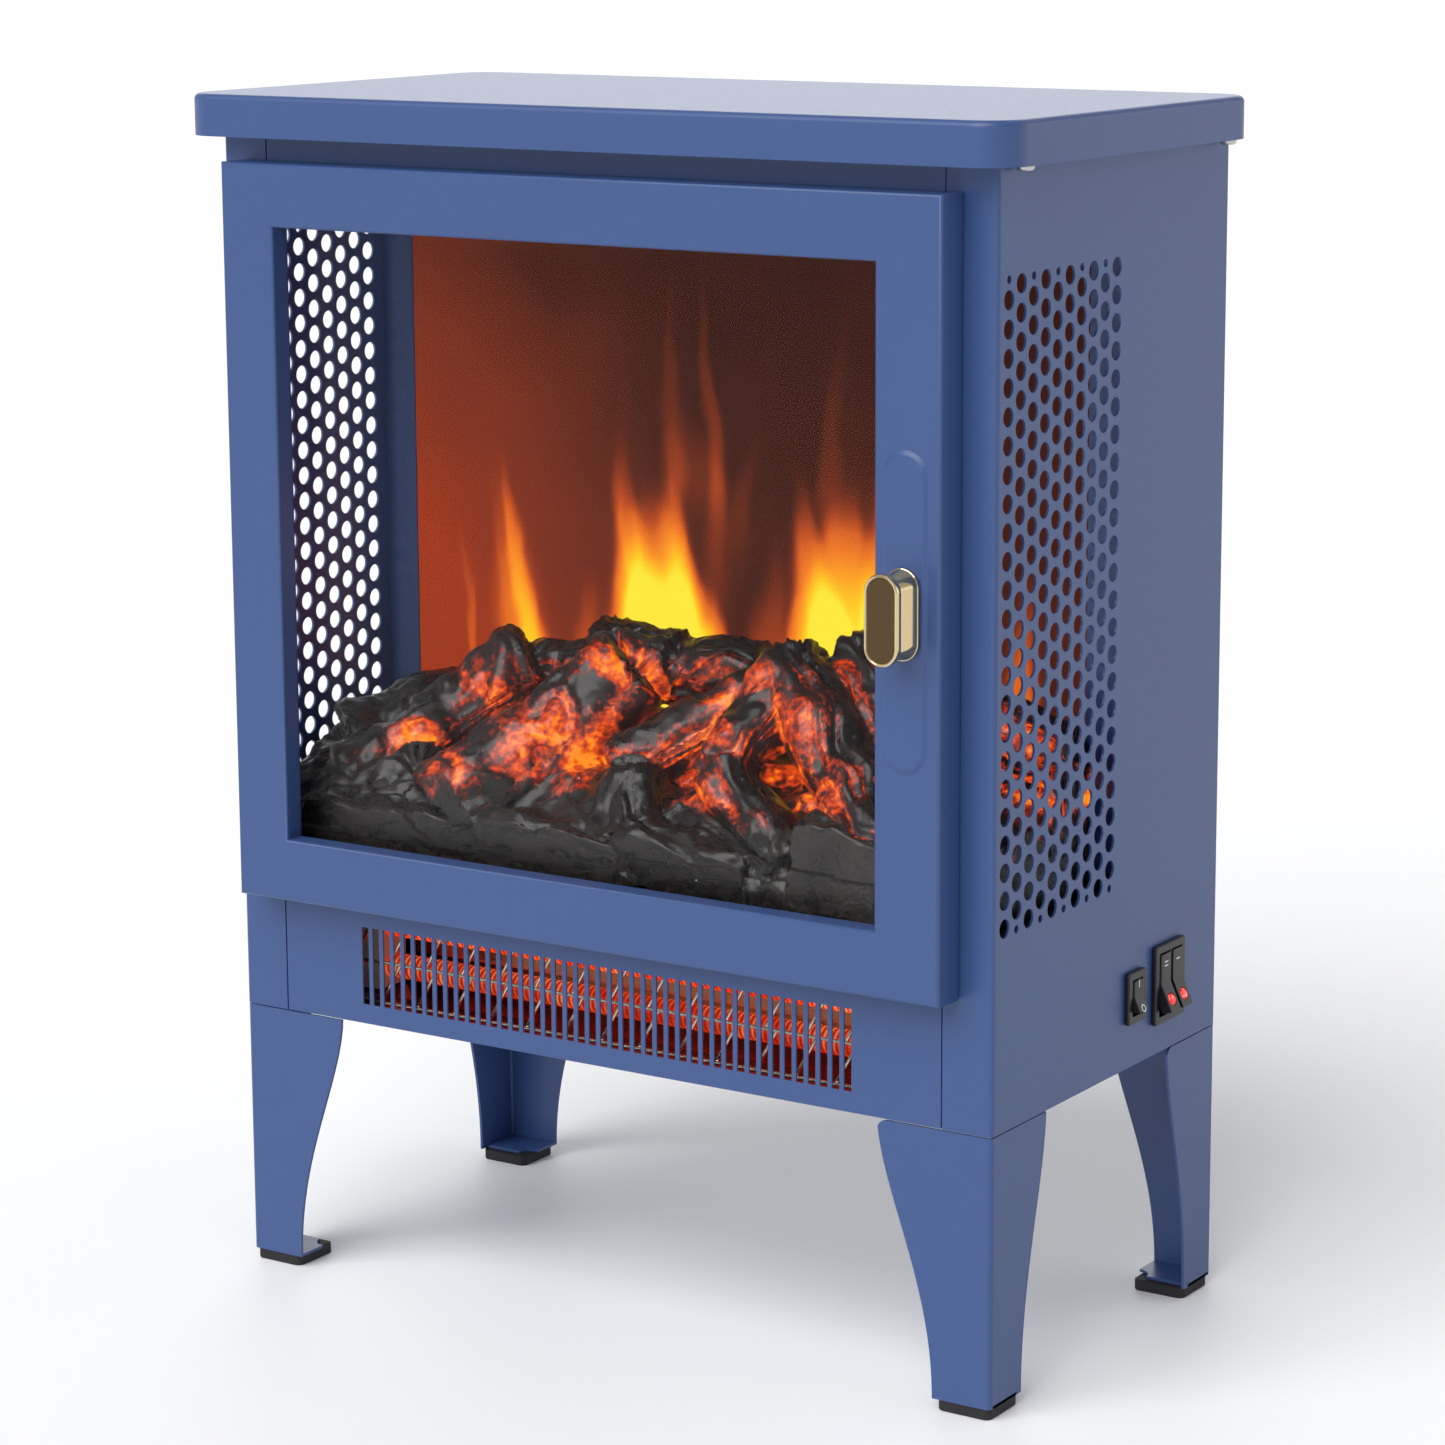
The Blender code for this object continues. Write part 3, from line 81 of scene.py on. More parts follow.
class Axis(Enum):
    """An axis of the frame, with the turn that lays a primitive's own Z along it."""

    X = (0.0, math.pi / 2, 0.0)
    Y = (math.pi / 2, 0.0, 0.0)
    Z = (0.0, 0.0, 0.0)


class Cut(Enum):
    """How a tool shape changes a piece."""

    ADD = "UNION"
    TAKE = "DIFFERENCE"


# ---------------------------------------------------------------- modelling bench

def deselect_all() -> None:
    """Leave edit mode and select nothing."""
    if bpy.context.object and bpy.context.object.mode != "OBJECT":
        bpy.ops.object.mode_set(mode="OBJECT")
    bpy.ops.object.select_all(action="DESELECT")


def take(piece: bpy.types.Object) -> None:
    """Make a piece the only one selected, and active.

    Args:
        piece: the object to work on.
    """
    deselect_all()
    piece.select_set(True)
    bpy.context.view_layer.objects.active = piece


def settle(name: str) -> bpy.types.Object:
    """Name the new active object and put its place into its mesh.

    Args:
        name: what the object and its mesh are called.

    Returns:
        The object that was active.
    """
    piece = bpy.context.object
    piece.name = name
    piece.data.name = name
    bpy.ops.object.transform_apply(location=True, rotation=True, scale=True)
    return piece


def add_box(name: str, low: Sequence[float], high: Sequence[float]) -> bpy.types.Object:
    """Add a box between two corners.

    Args:
        name: the box's name.
        low: its lowest corner.
        high: its highest corner.

    Returns:
        The new object, its place in its mesh.
    """
    deselect_all()
    low, high = Vector(low), Vector(high)
    bpy.ops.mesh.primitive_cube_add(size=1, location=(low + high) / 2, scale=high - low)
    return settle(name)


def add_rod(name: str, axis: Axis, centre: Sequence[float], radius: float, length: float,
            sides: int = 32) -> bpy.types.Object:
    """Add a closed cylinder along an axis, by its centre.

    Args:
        name: the rod's name.
        axis: the way it lies.
        centre: its middle.
        radius: its radius.
        length: its length.
        sides: how many flat sides stand for the round.

    Returns:
        The new object, its place in its mesh.
    """
    deselect_all()
    bpy.ops.mesh.primitive_cylinder_add(vertices=sides, radius=radius, depth=length,
                                        location=centre, rotation=axis.value)
    return settle(name)


def add_sheet(name: str, points: Sequence[Sequence[float]]) -> bpy.types.Object:
    """Add one flat face through the points: a filled circle whose rim is moved to them.

    Args:
        name: the face's name.
        points: its corners in order.

    Returns:
        The new object, its place in its mesh.
    """
    deselect_all()
    bpy.ops.mesh.primitive_circle_add(vertices=len(points), radius=1, fill_type="NGON")
    piece = settle(name)
    for vert, point in zip(piece.data.vertices, points):
        vert.co = point
    piece.data.update()
    return piece


@contextmanager
def editing(piece: bpy.types.Object, mode: str = "FACE") -> Iterator[None]:
    """Edit a piece with nothing selected at the start.

    Args:
        piece: the object to edit.
        mode: what is selected: VERT, EDGE or FACE.

    Returns:
        Nothing; edit mode ends with the block.
    """
    take(piece)
    bpy.ops.object.mode_set(mode="EDIT")
    bpy.ops.mesh.select_mode(type=mode)
    bpy.ops.mesh.select_all(action="DESELECT")
    yield
    bpy.ops.object.mode_set(mode="OBJECT")


def pick_faces(test: Callable[[Vector, Vector], bool]) -> int:
    """Select the faces whose centre and normal pass the test, and no others.

    Args:
        test: takes a centre and a normal, and says yes or no.

    Returns:
        How many faces were found.
    """
    mesh = bpy.context.object.data
    bm = bmesh.from_edit_mesh(mesh)
    bpy.ops.mesh.select_all(action="DESELECT")
    found = [face for face in bm.faces if test(face.calc_center_median(), face.normal)]
    for face in found:
        face.select_set(True)
    bmesh.update_edit_mesh(mesh)
    return len(found)


def pick_edges(test: Callable[[Vector, Vector], bool]) -> int:
    """Select the edges whose middle and direction pass the test, and no others.

    Args:
        test: takes a middle and a direction, and says yes or no.

    Returns:
        How many edges were found.
    """
    mesh = bpy.context.object.data
    bm = bmesh.from_edit_mesh(mesh)
    bpy.ops.mesh.select_all(action="DESELECT")
    count = 0
    for edge in bm.edges:
        a, b = (vert.co for vert in edge.verts)
        if test((a + b) / 2, (b - a).normalized()):
            edge.select_set(True)
            count += 1
    bmesh.update_edit_mesh(mesh)
    return count


def extrude(step: Sequence[float]) -> None:
    """Extrude the selected faces as one region and move them."""
    bpy.ops.mesh.extrude_region_move(TRANSFORM_OT_translate={"value": tuple(step)})


def extrude_edges(step: Sequence[float]) -> None:
    """Extrude the selected open edges into a strip and move it."""
    bpy.ops.mesh.extrude_edges_move(TRANSFORM_OT_translate={"value": tuple(step)})


def apply_modifier(piece: bpy.types.Object, kind: str, **settings: object) -> None:
    """Add one modifier with its settings and apply it.

    Args:
        piece: the object that it changes.
        kind: the modifier's type.
        settings: its attributes.
    """
    take(piece)
    step = piece.modifiers.new(kind.lower(), kind)
    for key, value in settings.items():
        setattr(step, key, value)
    bpy.ops.object.modifier_apply(modifier=step.name)


def combine(piece: bpy.types.Object, shape: bpy.types.Object, how: Cut) -> None:
    """Join a tool shape to a piece or cut it out, and remove the tool."""
    apply_modifier(piece, "BOOLEAN", operation=how.value, solver="MANIFOLD", object=shape)
    bpy.data.objects.remove(shape, do_unlink=True)


def round_edges(piece: bpy.types.Object, width: float, segments: int = 2,
                degrees: float = 35) -> None:
    """Round every edge sharper than an angle."""
    apply_modifier(piece, "BEVEL", width=width, segments=segments, limit_method="ANGLE",
                   angle_limit=math.radians(degrees), use_clamp_overlap=True)


def thicken(piece: bpy.types.Object, thickness: float, outward: Vector,
            at: Callable[[Vector, Vector], bool]) -> None:
    """Give a sheet its thickness, inwards from the side that faces outward at one face.

    Args:
        piece: an open sheet.
        thickness: the wall to make.
        outward: the way that the tested face should look.
        at: picks that face by centre and normal.
    """
    with editing(piece):
        bpy.ops.mesh.select_all(action="SELECT")
        bpy.ops.mesh.normals_make_consistent(inside=False)
    witness = next(face for face in piece.data.polygons if at(face.center, face.normal))
    if witness.normal.dot(outward) < 0:
        with editing(piece):
            bpy.ops.mesh.select_all(action="SELECT")
            bpy.ops.mesh.flip_normals()
    apply_modifier(piece, "SOLIDIFY", thickness=thickness, offset=-1, use_even_offset=True)


def open_window(piece: bpy.types.Object, window: Sequence[float]) -> None:
    """Open a box through along Y: both faces are inset to the window's corners and bridged.

    Args:
        piece: a plain box.
        window: left, right, bottom and top of the opening.
    """
    left, right, bottom, top = window
    with editing(piece):
        pick_faces(lambda mid, way: abs(way.y) > 0.9)
        bpy.ops.mesh.inset(thickness=3 * MM)
        bm = bmesh.from_edit_mesh(piece.data)
        for vert in (vert for vert in bm.verts if vert.select):
            vert.co.x = left if vert.co.x < (left + right) / 2 else right
            vert.co.z = bottom if vert.co.z < (bottom + top) / 2 else top
        bmesh.update_edit_mesh(piece.data)
        bpy.ops.mesh.bridge_edge_loops()


def join(name: str, pieces: Sequence[bpy.types.Object]) -> bpy.types.Object:
    """Join several pieces into the first.

    Args:
        name: what the result is called.
        pieces: the objects; the first one stays.

    Returns:
        The first object, now holding all of them.
    """
    deselect_all()
    for piece in pieces:
        piece.select_set(True)
    bpy.context.view_layer.objects.active = pieces[0]
    bpy.ops.object.join()
    pieces[0].name = name
    return pieces[0]


def smooth(piece: bpy.types.Object, degrees: float = 35) -> None:
    """Shade a piece smooth except over sharp edges, with its broad faces kept flat.

    Args:
        piece: the object to shade.
        degrees: edges sharper than this stay sharp.
    """
    take(piece)
    bpy.ops.object.shade_smooth_by_angle(angle=math.radians(degrees))
    if degrees < 90:
        apply_modifier(piece, "WEIGHTED_NORMAL", mode="FACE_AREA", weight=100, keep_sharp=True)


def place(piece: bpy.types.Object, finish: Finish, body: str = BODY,
          stands_for: Sequence[str] = (), degrees: float = 35) -> bpy.types.Object:
    """Dress a finished piece, hang it on its body and report it.

    Args:
        piece: the modelled object, its place in its mesh.
        finish: what it is made of.
        body: the frame's body that it moves with.
        stands_for: the frame's nodes that it is shown in place of.
        degrees: edges sharper than this stay sharp.

    Returns:
        The same object.
    """
    smooth(piece, degrees)
    piece.data.materials.clear()
    piece.data.materials.append(finish.material())
    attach(piece, body)
    if stands_for:
        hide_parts(*stands_for)
    LOG.info("%s: %d faces on %s", piece.name, len(piece.data.polygons), body)
    return piece


def stadium(width: float, height: float, inset: float = 0.0, steps: int = 16) -> list[tuple]:
    """Points (across, up) of an upright outline with round ends, about its own centre.

    Args:
        width: full width.
        height: full height.
        inset: how far inside that outline to draw.
        steps: segments of each round end.

    Returns:
        The points, in order round the outline.
    """
    radius = width / 2
    reach = height / 2 - radius
    points = []
    for end, start in ((1, 0.0), (-1, math.pi)):
        for i in range(steps + 1):
            angle = start + math.pi * i / steps
            points.append(((radius - inset) * math.cos(angle),
                           end * reach + (radius - inset) * math.sin(angle)))
    return points


def ring_stack(name: str, rings: Sequence[Sequence[Sequence[float]]]) -> bpy.types.Object:
    """Build a closed body from matching rings: a first face, extruded from ring to ring.

    Args:
        name: the piece's name.
        rings: equally long rows of points, in order from one end to the other.

    Returns:
        The closed piece, its faces pointing out.
    """
    piece = add_sheet(name, rings[0])
    count = len(rings[0])
    with editing(piece):
        bpy.ops.mesh.select_all(action="SELECT")
        for before, ring in zip(rings, rings[1:]):
            extrude((0, 0, 0))
            bm = bmesh.from_edit_mesh(piece.data)
            top = next(face for face in bm.faces if face.select and len(face.verts) == count)
            for vert in top.verts:
                nearest = min(range(count), key=lambda n: (vert.co - Vector(before[n])).length)
                vert.co = ring[nearest]
            bmesh.update_edit_mesh(piece.data)
        bpy.ops.mesh.select_all(action="SELECT")
        bpy.ops.mesh.normals_make_consistent(inside=False)
    return piece


# ---------------------------------------------------------------- finishes

def srgb(code: str) -> tuple[float, float, float, float]:
    """Turn an sRGB hex colour into linear RGBA.

    Args:
        code: a colour such as "#1a2b3c".

    Returns:
        Red, green, blue and alpha, linear.
    """
    parts = [int(code[i:i + 2], 16) / 255 for i in (1, 3, 5)]
    linear = [c / 12.92 if c <= 0.04045 else ((c + 0.055) / 1.055) ** 2.4 for c in parts]
    return (*linear, 1.0)


def add_node(tree: bpy.types.NodeTree, kind: str, inputs: dict | None = None,
             **settings: object) -> bpy.types.Node:
    """Add a shader node with its settings and links.

    Args:
        tree: the material's node tree.
        kind: the node type, without its ShaderNode prefix.
        inputs: socket name or number to a value, or to the output socket that feeds it.
        settings: attributes of the node.

    Returns:
        The node.
    """
    node = tree.nodes.new(f"ShaderNode{kind}")
    for key, value in settings.items():
        setattr(node, key, value)
    for key, value in (inputs or {}).items():
        socket = node.inputs[key]
        if isinstance(value, bpy.types.NodeSocket):
            tree.links.new(value, socket)
        else:
            socket.default_value = value
    return node


def calc(tree: bpy.types.NodeTree, operation: str, *values: object,
         clamp: bool = False) -> bpy.types.NodeSocket:
    """Add one sum of scalar values and return its result."""
    node = add_node(tree, "Math", dict(enumerate(values)), operation=operation, use_clamp=clamp)
    return node.outputs[0]


def ramp(tree: bpy.types.NodeTree, factor: object,
         stops: Sequence[tuple[float, str]]) -> bpy.types.NodeSocket:
    """Add a colour ramp with sRGB stops and return its colour.

    Args:
        tree: the material's node tree.
        factor: the value that runs along the ramp.
        stops: positions with their sRGB hex colours.

    Returns:
        The ramp's colour socket.
    """
    node = add_node(tree, "ValToRGB", {"Fac": factor})
    band = node.color_ramp
    while len(band.elements) < len(stops):
        band.elements.new(0.5)
    for element, (place_on, code) in zip(band.elements, stops):
        element.position = place_on
        element.color = srgb(code)
    return node.outputs["Color"]


@dataclass(frozen=True)
class Finish:
    """A plain finish: one colour, with fine variation in its roughness and height.

    Attributes:
        name: the material's name.
        slot: the record's material slot.
        colour: base colour, sRGB hex.
        rough: typical roughness.
        metal: 1 for a bare metal.
        grain_mm: size of the surface's finest pattern.
        relief_mm: height of that pattern.
        ior: index of refraction of a dielectric.
    """

    name: str
    slot: str
    colour: str
    rough: float
    metal: float = 0.0
    grain_mm: float = 1.0
    relief_mm: float = 0.01
    ior: float = 1.5

    def material(self) -> bpy.types.Material:
        """Return this finish's material, made once.

        Returns:
            The material.
        """
        found = bpy.data.materials.get(f"look_{self.name}")
        if found:
            return found
        made = bpy.data.materials.new(f"look_{self.name}")
        made.use_nodes = True
        tree = made.node_tree
        shader = tree.nodes["Principled BSDF"]
        shader.inputs["Metallic"].default_value = self.metal
        if not self.metal:
            shader.inputs["IOR"].default_value = self.ior
        self.surface(tree, shader)
        return made

    def place_in(self, tree: bpy.types.NodeTree) -> bpy.types.NodeSocket:
        """Object coordinates, in metres."""
        return add_node(tree, "TexCoord").outputs["Object"]

    def pattern(self, tree: bpy.types.NodeTree, size_mm: float, detail: float = 2,
                rough: float = 0.5) -> bpy.types.NodeSocket:
        """A noise whose blobs are about size_mm across.

        Args:
            tree: the material's node tree.
            size_mm: size of a blob.
            detail: octaves of finer noise.
            rough: how strong each finer octave is.

        Returns:
            A value from 0 to 1.
        """
        node = add_node(tree, "TexNoise", {"Vector": self.place_in(tree),
                                           "Scale": 1 / (size_mm * MM), "Detail": detail,
                                           "Roughness": rough})
        return node.outputs["Fac"]

    def spread(self, tree: bpy.types.NodeTree, factor: object, low: float,
               high: float) -> bpy.types.NodeSocket:
        """Map a 0 to 1 pattern onto a range.

        Args:
            tree: the material's node tree.
            factor: the pattern.
            low: what its dark end becomes.
            high: what its light end becomes.

        Returns:
            The mapped value.
        """
        node = add_node(tree, "MapRange", {"Value": factor, "From Min": 0.25, "From Max": 0.75,
                                           "To Min": low, "To Max": high})
        return node.outputs["Result"]

    def relief(self, tree: bpy.types.NodeTree, shader: bpy.types.Node,
               height: object, depth_mm: float) -> None:
        """Drive the shader's normal with a height pattern.

        Args:
            tree: the material's node tree.
            shader: its Principled shader.
            height: the pattern that stands for height.
            depth_mm: how high it stands.
        """
        bump = add_node(tree, "Bump", {"Height": height, "Distance": depth_mm * MM,
                                       "Strength": 1.0})
        tree.links.new(bump.outputs["Normal"], shader.inputs["Normal"])

    def tint(self, tree: bpy.types.NodeTree, factor: object, shift: float) -> bpy.types.NodeSocket:
        """The base colour, a little lighter and darker over a pattern.

        Args:
            tree: the material's node tree.
            factor: the pattern.
            shift: share by which the colour swings either way.

        Returns:
            A colour socket.
        """
        dark = tuple(c * (1 - shift) for c in srgb(self.colour)[:3])
        light = tuple(min(1.0, c * (1 + shift)) for c in srgb(self.colour)[:3])
        node = add_node(tree, "Mix", {"Factor": factor, "A": (*dark, 1), "B": (*light, 1)},
                        data_type="RGBA")
        return node.outputs["Result"]

    def surface(self, tree: bpy.types.NodeTree, shader: bpy.types.Node) -> None:
        """Lay the colour, the roughness and the fine relief.

        Args:
            tree: the material's node tree.
            shader: its Principled shader.
        """
        broad = self.pattern(tree, 30 * self.grain_mm)
        fine = self.pattern(tree, self.grain_mm, 3)
        tree.links.new(self.tint(tree, broad, 0.08), shader.inputs["Base Color"])
        rough = self.spread(tree, broad, self.rough * 0.9, self.rough * 1.1)
        tree.links.new(rough, shader.inputs["Roughness"])
        self.relief(tree, shader, fine, self.relief_mm)


@dataclass(frozen=True)
class PowderCoat(Finish):
    """Baked satin powder coat on steel: an even colour with the faint dimpling of orange peel."""

    def surface(self, tree: bpy.types.NodeTree, shader: bpy.types.Node) -> None:
        """Even colour, orange peel about 1.6 mm across, and a sprinkle of tiny dust nibs.

        Args:
            tree: the material's node tree.
            shader: its Principled shader.
        """
        cloud = self.pattern(tree, 90, 1)
        peel = self.pattern(tree, 1.6, 2, 0.4)
        nib = add_node(tree, "TexVoronoi", {"Vector": self.place_in(tree), "Scale": 1 / (14 * MM),
                                            "Randomness": 1.0}).outputs["Distance"]
        nib_mask = calc(tree, "LESS_THAN", nib, 0.028)
        tree.links.new(self.tint(tree, cloud, 0.03), shader.inputs["Base Color"])
        rough = self.spread(tree, peel, self.rough * 0.94, self.rough * 1.06)
        tree.links.new(rough, shader.inputs["Roughness"])
        height = calc(tree, "ADD", peel, calc(tree, "MULTIPLY", nib_mask, 1.5))
        self.relief(tree, shader, height, self.relief_mm)


@dataclass(frozen=True)
class BrushedMetal(Finish):
    """Rolled or drawn metal, with fine lines along X."""

    def surface(self, tree: bpy.types.NodeTree, shader: bpy.types.Node) -> None:
        """Lines about half a millimetre apart, stretched along X, in colour and roughness.

        Args:
            tree: the material's node tree.
            shader: its Principled shader.
        """
        stretch = add_node(tree, "Mapping", {"Vector": self.place_in(tree), "Scale": (0.04, 1, 1)})
        lines = add_node(tree, "TexNoise", {"Vector": stretch.outputs["Vector"],
                                            "Scale": 1 / (self.grain_mm * MM), "Detail": 3.0})
        tree.links.new(self.tint(tree, lines.outputs["Fac"], 0.15), shader.inputs["Base Color"])
        rough = self.spread(tree, lines.outputs["Fac"], self.rough * 0.8, self.rough * 1.2)
        tree.links.new(rough, shader.inputs["Roughness"])
        self.relief(tree, shader, lines.outputs["Fac"], self.relief_mm)


@dataclass(frozen=True)
class ClearGlass(Finish):
    """A clear pane: see-through, with a faint mirror that grows at a grazing angle."""

    def surface(self, tree: bpy.types.NodeTree, shader: bpy.types.Node) -> None:
        """A smooth coat mixed over a transparent shader by Fresnel, with a few dust specks.

        Args:
            tree: the material's node tree.
            shader: its Principled shader.
        """
        shader.inputs["Base Color"].default_value = srgb(self.colour)
        shader.inputs["Roughness"].default_value = self.rough
        shader.inputs["Metallic"].default_value = 1.0
        clear = add_node(tree, "BsdfTransparent", {"Color": (1, 1, 1, 1)})
        fresnel = add_node(tree, "Fresnel", {"IOR": 1.35})
        speck = add_node(tree, "TexVoronoi", {"Vector": self.place_in(tree),
                                              "Scale": 1 / (30 * MM)}).outputs["Distance"]
        dust = calc(tree, "MULTIPLY", calc(tree, "LESS_THAN", speck, 0.012), 0.4)
        share = calc(tree, "ADD", calc(tree, "MULTIPLY", fresnel.outputs["Fac"], 0.12), dust,
                     clamp=True)
        mixed = add_node(tree, "MixShader", {0: share, 1: clear.outputs[0], 2: shader.outputs[0]})
        tree.links.new(mixed.outputs[0], tree.nodes["Material Output"].inputs["Surface"])


@dataclass(frozen=True)
class Glow(Finish):
    """A surface that gives its own light, in bands along X, as a hot wire coil in its tube.

    Attributes:
        strength: how bright the light is.
        cool: colour between the turns, sRGB hex.
        pitch_mm: distance between the bright turns.
    """

    strength: float = 1.0
    cool: str = "#3a0a02"
    pitch_mm: float = 2.4

    def surface(self, tree: bpy.types.NodeTree, shader: bpy.types.Node) -> None:
        """Bright turns along the tube, broken up by slow patches of heat.

        Args:
            tree: the material's node tree.
            shader: its Principled shader.
        """
        split = add_node(tree, "SeparateXYZ", {0: self.place_in(tree)})
        turns = calc(tree, "SINE", calc(tree, "MULTIPLY", split.outputs["X"],
                                        2 * math.pi / (self.pitch_mm * MM)))
        band = calc(tree, "MULTIPLY_ADD", turns, 0.18, 0.5)
        heat = calc(tree, "MULTIPLY", band, self.spread(tree, self.pattern(tree, 26), 0.5, 1.4),
                    clamp=True)
        colour = ramp(tree, heat, ((0.1, self.cool), (0.55, self.colour), (0.95, "#ffb060")))
        shader.inputs["Base Color"].default_value = srgb("#1a0805")
        shader.inputs["Roughness"].default_value = self.rough
        tree.links.new(colour, shader.inputs["Emission Color"])
        shader.inputs["Emission Strength"].default_value = self.strength


@dataclass(frozen=True)
class Lamp(Finish):
    """A clear coloured lens with a lamp behind it."""

    strength: float = 1.0

    def surface(self, tree: bpy.types.NodeTree, shader: bpy.types.Node) -> None:
        """Red light, mottled by the moulded face.

        Args:
            tree: the material's node tree.
            shader: its Principled shader.
        """
        mottle = self.pattern(tree, 1.2, 2)
        colour = ramp(tree, mottle, ((0.3, "#7a0404"), (0.5, self.colour), (0.75, "#ff8a80")))
        tree.links.new(colour, shader.inputs["Base Color"])
        tree.links.new(colour, shader.inputs["Emission Color"])
        shader.inputs["Emission Strength"].default_value = self.strength
        shader.inputs["Roughness"].default_value = self.rough


@dataclass(frozen=True)
class Tongue:
    """One tongue of flame on the screen, all in millimetres from the screen's middle and floor.

    Attributes:
        base_x, base_z: foot of the tongue.
        tip_x, tip_z: its tip.
        width: half its width at the foot.
        heat: its brightness.
    """

    base_x: float
    base_z: float
    tip_x: float
    tip_z: float
    width: float
    heat: float


@dataclass(frozen=True)
class FlameScreen(Finish):
    """A translucent screen that flames are thrown onto from behind.

    Soft, bright tongues stand on a dull red ground that is stronger on the left.

    Attributes:
        tongues: the flames, in no special order.
    """

    tongues: tuple[Tongue, ...] = ()

    def tongue(self, tree: bpy.types.NodeTree, x: object, z: object,
               one: Tongue) -> bpy.types.NodeSocket:
        """Brightness of one tongue: full near its foot, dying to its rounded tip and soft edges.

        Args:
            tree: the material's node tree.
            x: place across, with its sway.
            z: height above the screen's foot.
            one: the tongue.

        Returns:
            Its heat at that place.
        """
        rise = calc(tree, "DIVIDE", calc(tree, "SUBTRACT", z, one.base_z * MM),
                    (one.tip_z - one.base_z) * MM)
        up = calc(tree, "MAXIMUM", rise, 0.0)
        middle = calc(tree, "MULTIPLY_ADD", up, (one.tip_x - one.base_x) * MM, one.base_x * MM)
        off = calc(tree, "ABSOLUTE", calc(tree, "SUBTRACT", x, middle))
        narrow = calc(tree, "SUBTRACT", 1.0, calc(tree, "POWER", up, 1.3), clamp=True)
        half = calc(tree, "MULTIPLY_ADD", narrow, 0.8 * one.width * MM, 0.28 * one.width * MM)
        edge = add_node(tree, "MapRange", {"Value": calc(tree, "DIVIDE", off, half),
                                           "From Min": 0.25, "From Max": 1.5, "To Min": 1.0,
                                           "To Max": 0.0}, interpolation_type="SMOOTHSTEP")
        fade = add_node(tree, "MapRange", {"Value": rise, "From Min": 0.1, "From Max": 1.2,
                                           "To Min": 1.0, "To Max": 0.0},
                        interpolation_type="SMOOTHSTEP")
        foot = add_node(tree, "MapRange", {"Value": rise, "From Min": -0.5, "From Max": 0.0,
                                           "To Min": 0.3, "To Max": 1.0})
        shape = calc(tree, "MULTIPLY", edge.outputs["Result"], fade.outputs["Result"])
        lit = calc(tree, "MULTIPLY", shape, foot.outputs["Result"])
        return calc(tree, "MULTIPLY", lit, one.heat)

    def surface(self, tree: bpy.types.NodeTree, shader: bpy.types.Node) -> None:
        """Sum the tongues on a wavering grid and turn heat into colour.

        Args:
            tree: the material's node tree.
            shader: its Principled shader.
        """
        here = self.place_in(tree)
        low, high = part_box("flame_screen")
        wave = add_node(tree, "TexNoise", {"Vector": add_node(
            tree, "Mapping", {"Vector": here, "Scale": (1, 1, 0.35)}).outputs["Vector"],
            "Scale": 1 / (20 * MM), "Detail": 2.0})
        sway = calc(tree, "MULTIPLY", calc(tree, "SUBTRACT", wave.outputs["Fac"], 0.5), 16 * MM)
        split = add_node(tree, "SeparateXYZ", {0: here})
        x = calc(tree, "ADD", split.outputs["X"], sway)
        z = calc(tree, "SUBTRACT", split.outputs["Z"], low.z)
        heat: object = 0.0
        for one in self.tongues:
            heat = calc(tree, "ADD", heat, self.tongue(tree, x, z, one))
        span = high.x - low.x
        left = add_node(tree, "MapRange", {"Value": split.outputs["X"], "From Min": low.x,
                                           "From Max": low.x + 0.44 * span, "To Min": 1.0,
                                           "To Max": 0.0}).outputs["Result"]
        down = add_node(tree, "MapRange", {"Value": z, "From Min": 0.06, "From Max": 0.26,
                                           "To Min": 1.0, "To Max": 0.0}).outputs["Result"]
        haze = calc(tree, "MULTIPLY", left, calc(tree, "MULTIPLY_ADD", down, 0.62, 0.38))
        low_haze = calc(tree, "MULTIPLY", down, 0.3)
        cloud = self.spread(tree, self.pattern(tree, 55, 1), -0.06, 0.06)
        ground = calc(tree, "ADD", calc(tree, "ADD", haze, low_haze), cloud, clamp=True)
        base = ramp(tree, ground, ((0.0, "#2f140d"), (0.25, "#481d12"), (0.6, "#742b16"),
                                   (1.0, "#9c3411")))
        fire = ramp(tree, calc(tree, "MULTIPLY", heat, 1.0, clamp=True),
                    ((0.0, "#7a2c16"), (0.22, "#c8501a"), (0.45, "#f07a1c"), (0.66, "#ffa41c"),
                     (0.86, "#ffd01c"), (1.0, "#ffe83a")))
        share = add_node(tree, "MapRange", {"Value": heat, "From Min": 0.0, "From Max": 0.3,
                                            "To Min": 0.0, "To Max": 1.0}).outputs["Result"]
        light = add_node(tree, "Mix", {"Factor": share, "A": base, "B": fire}, data_type="RGBA")
        shader.inputs["Base Color"].default_value = srgb("#120705")
        shader.inputs["Roughness"].default_value = self.rough
        tree.links.new(light.outputs["Result"], shader.inputs["Emission Color"])
        shader.inputs["Emission Strength"].default_value = 1.0


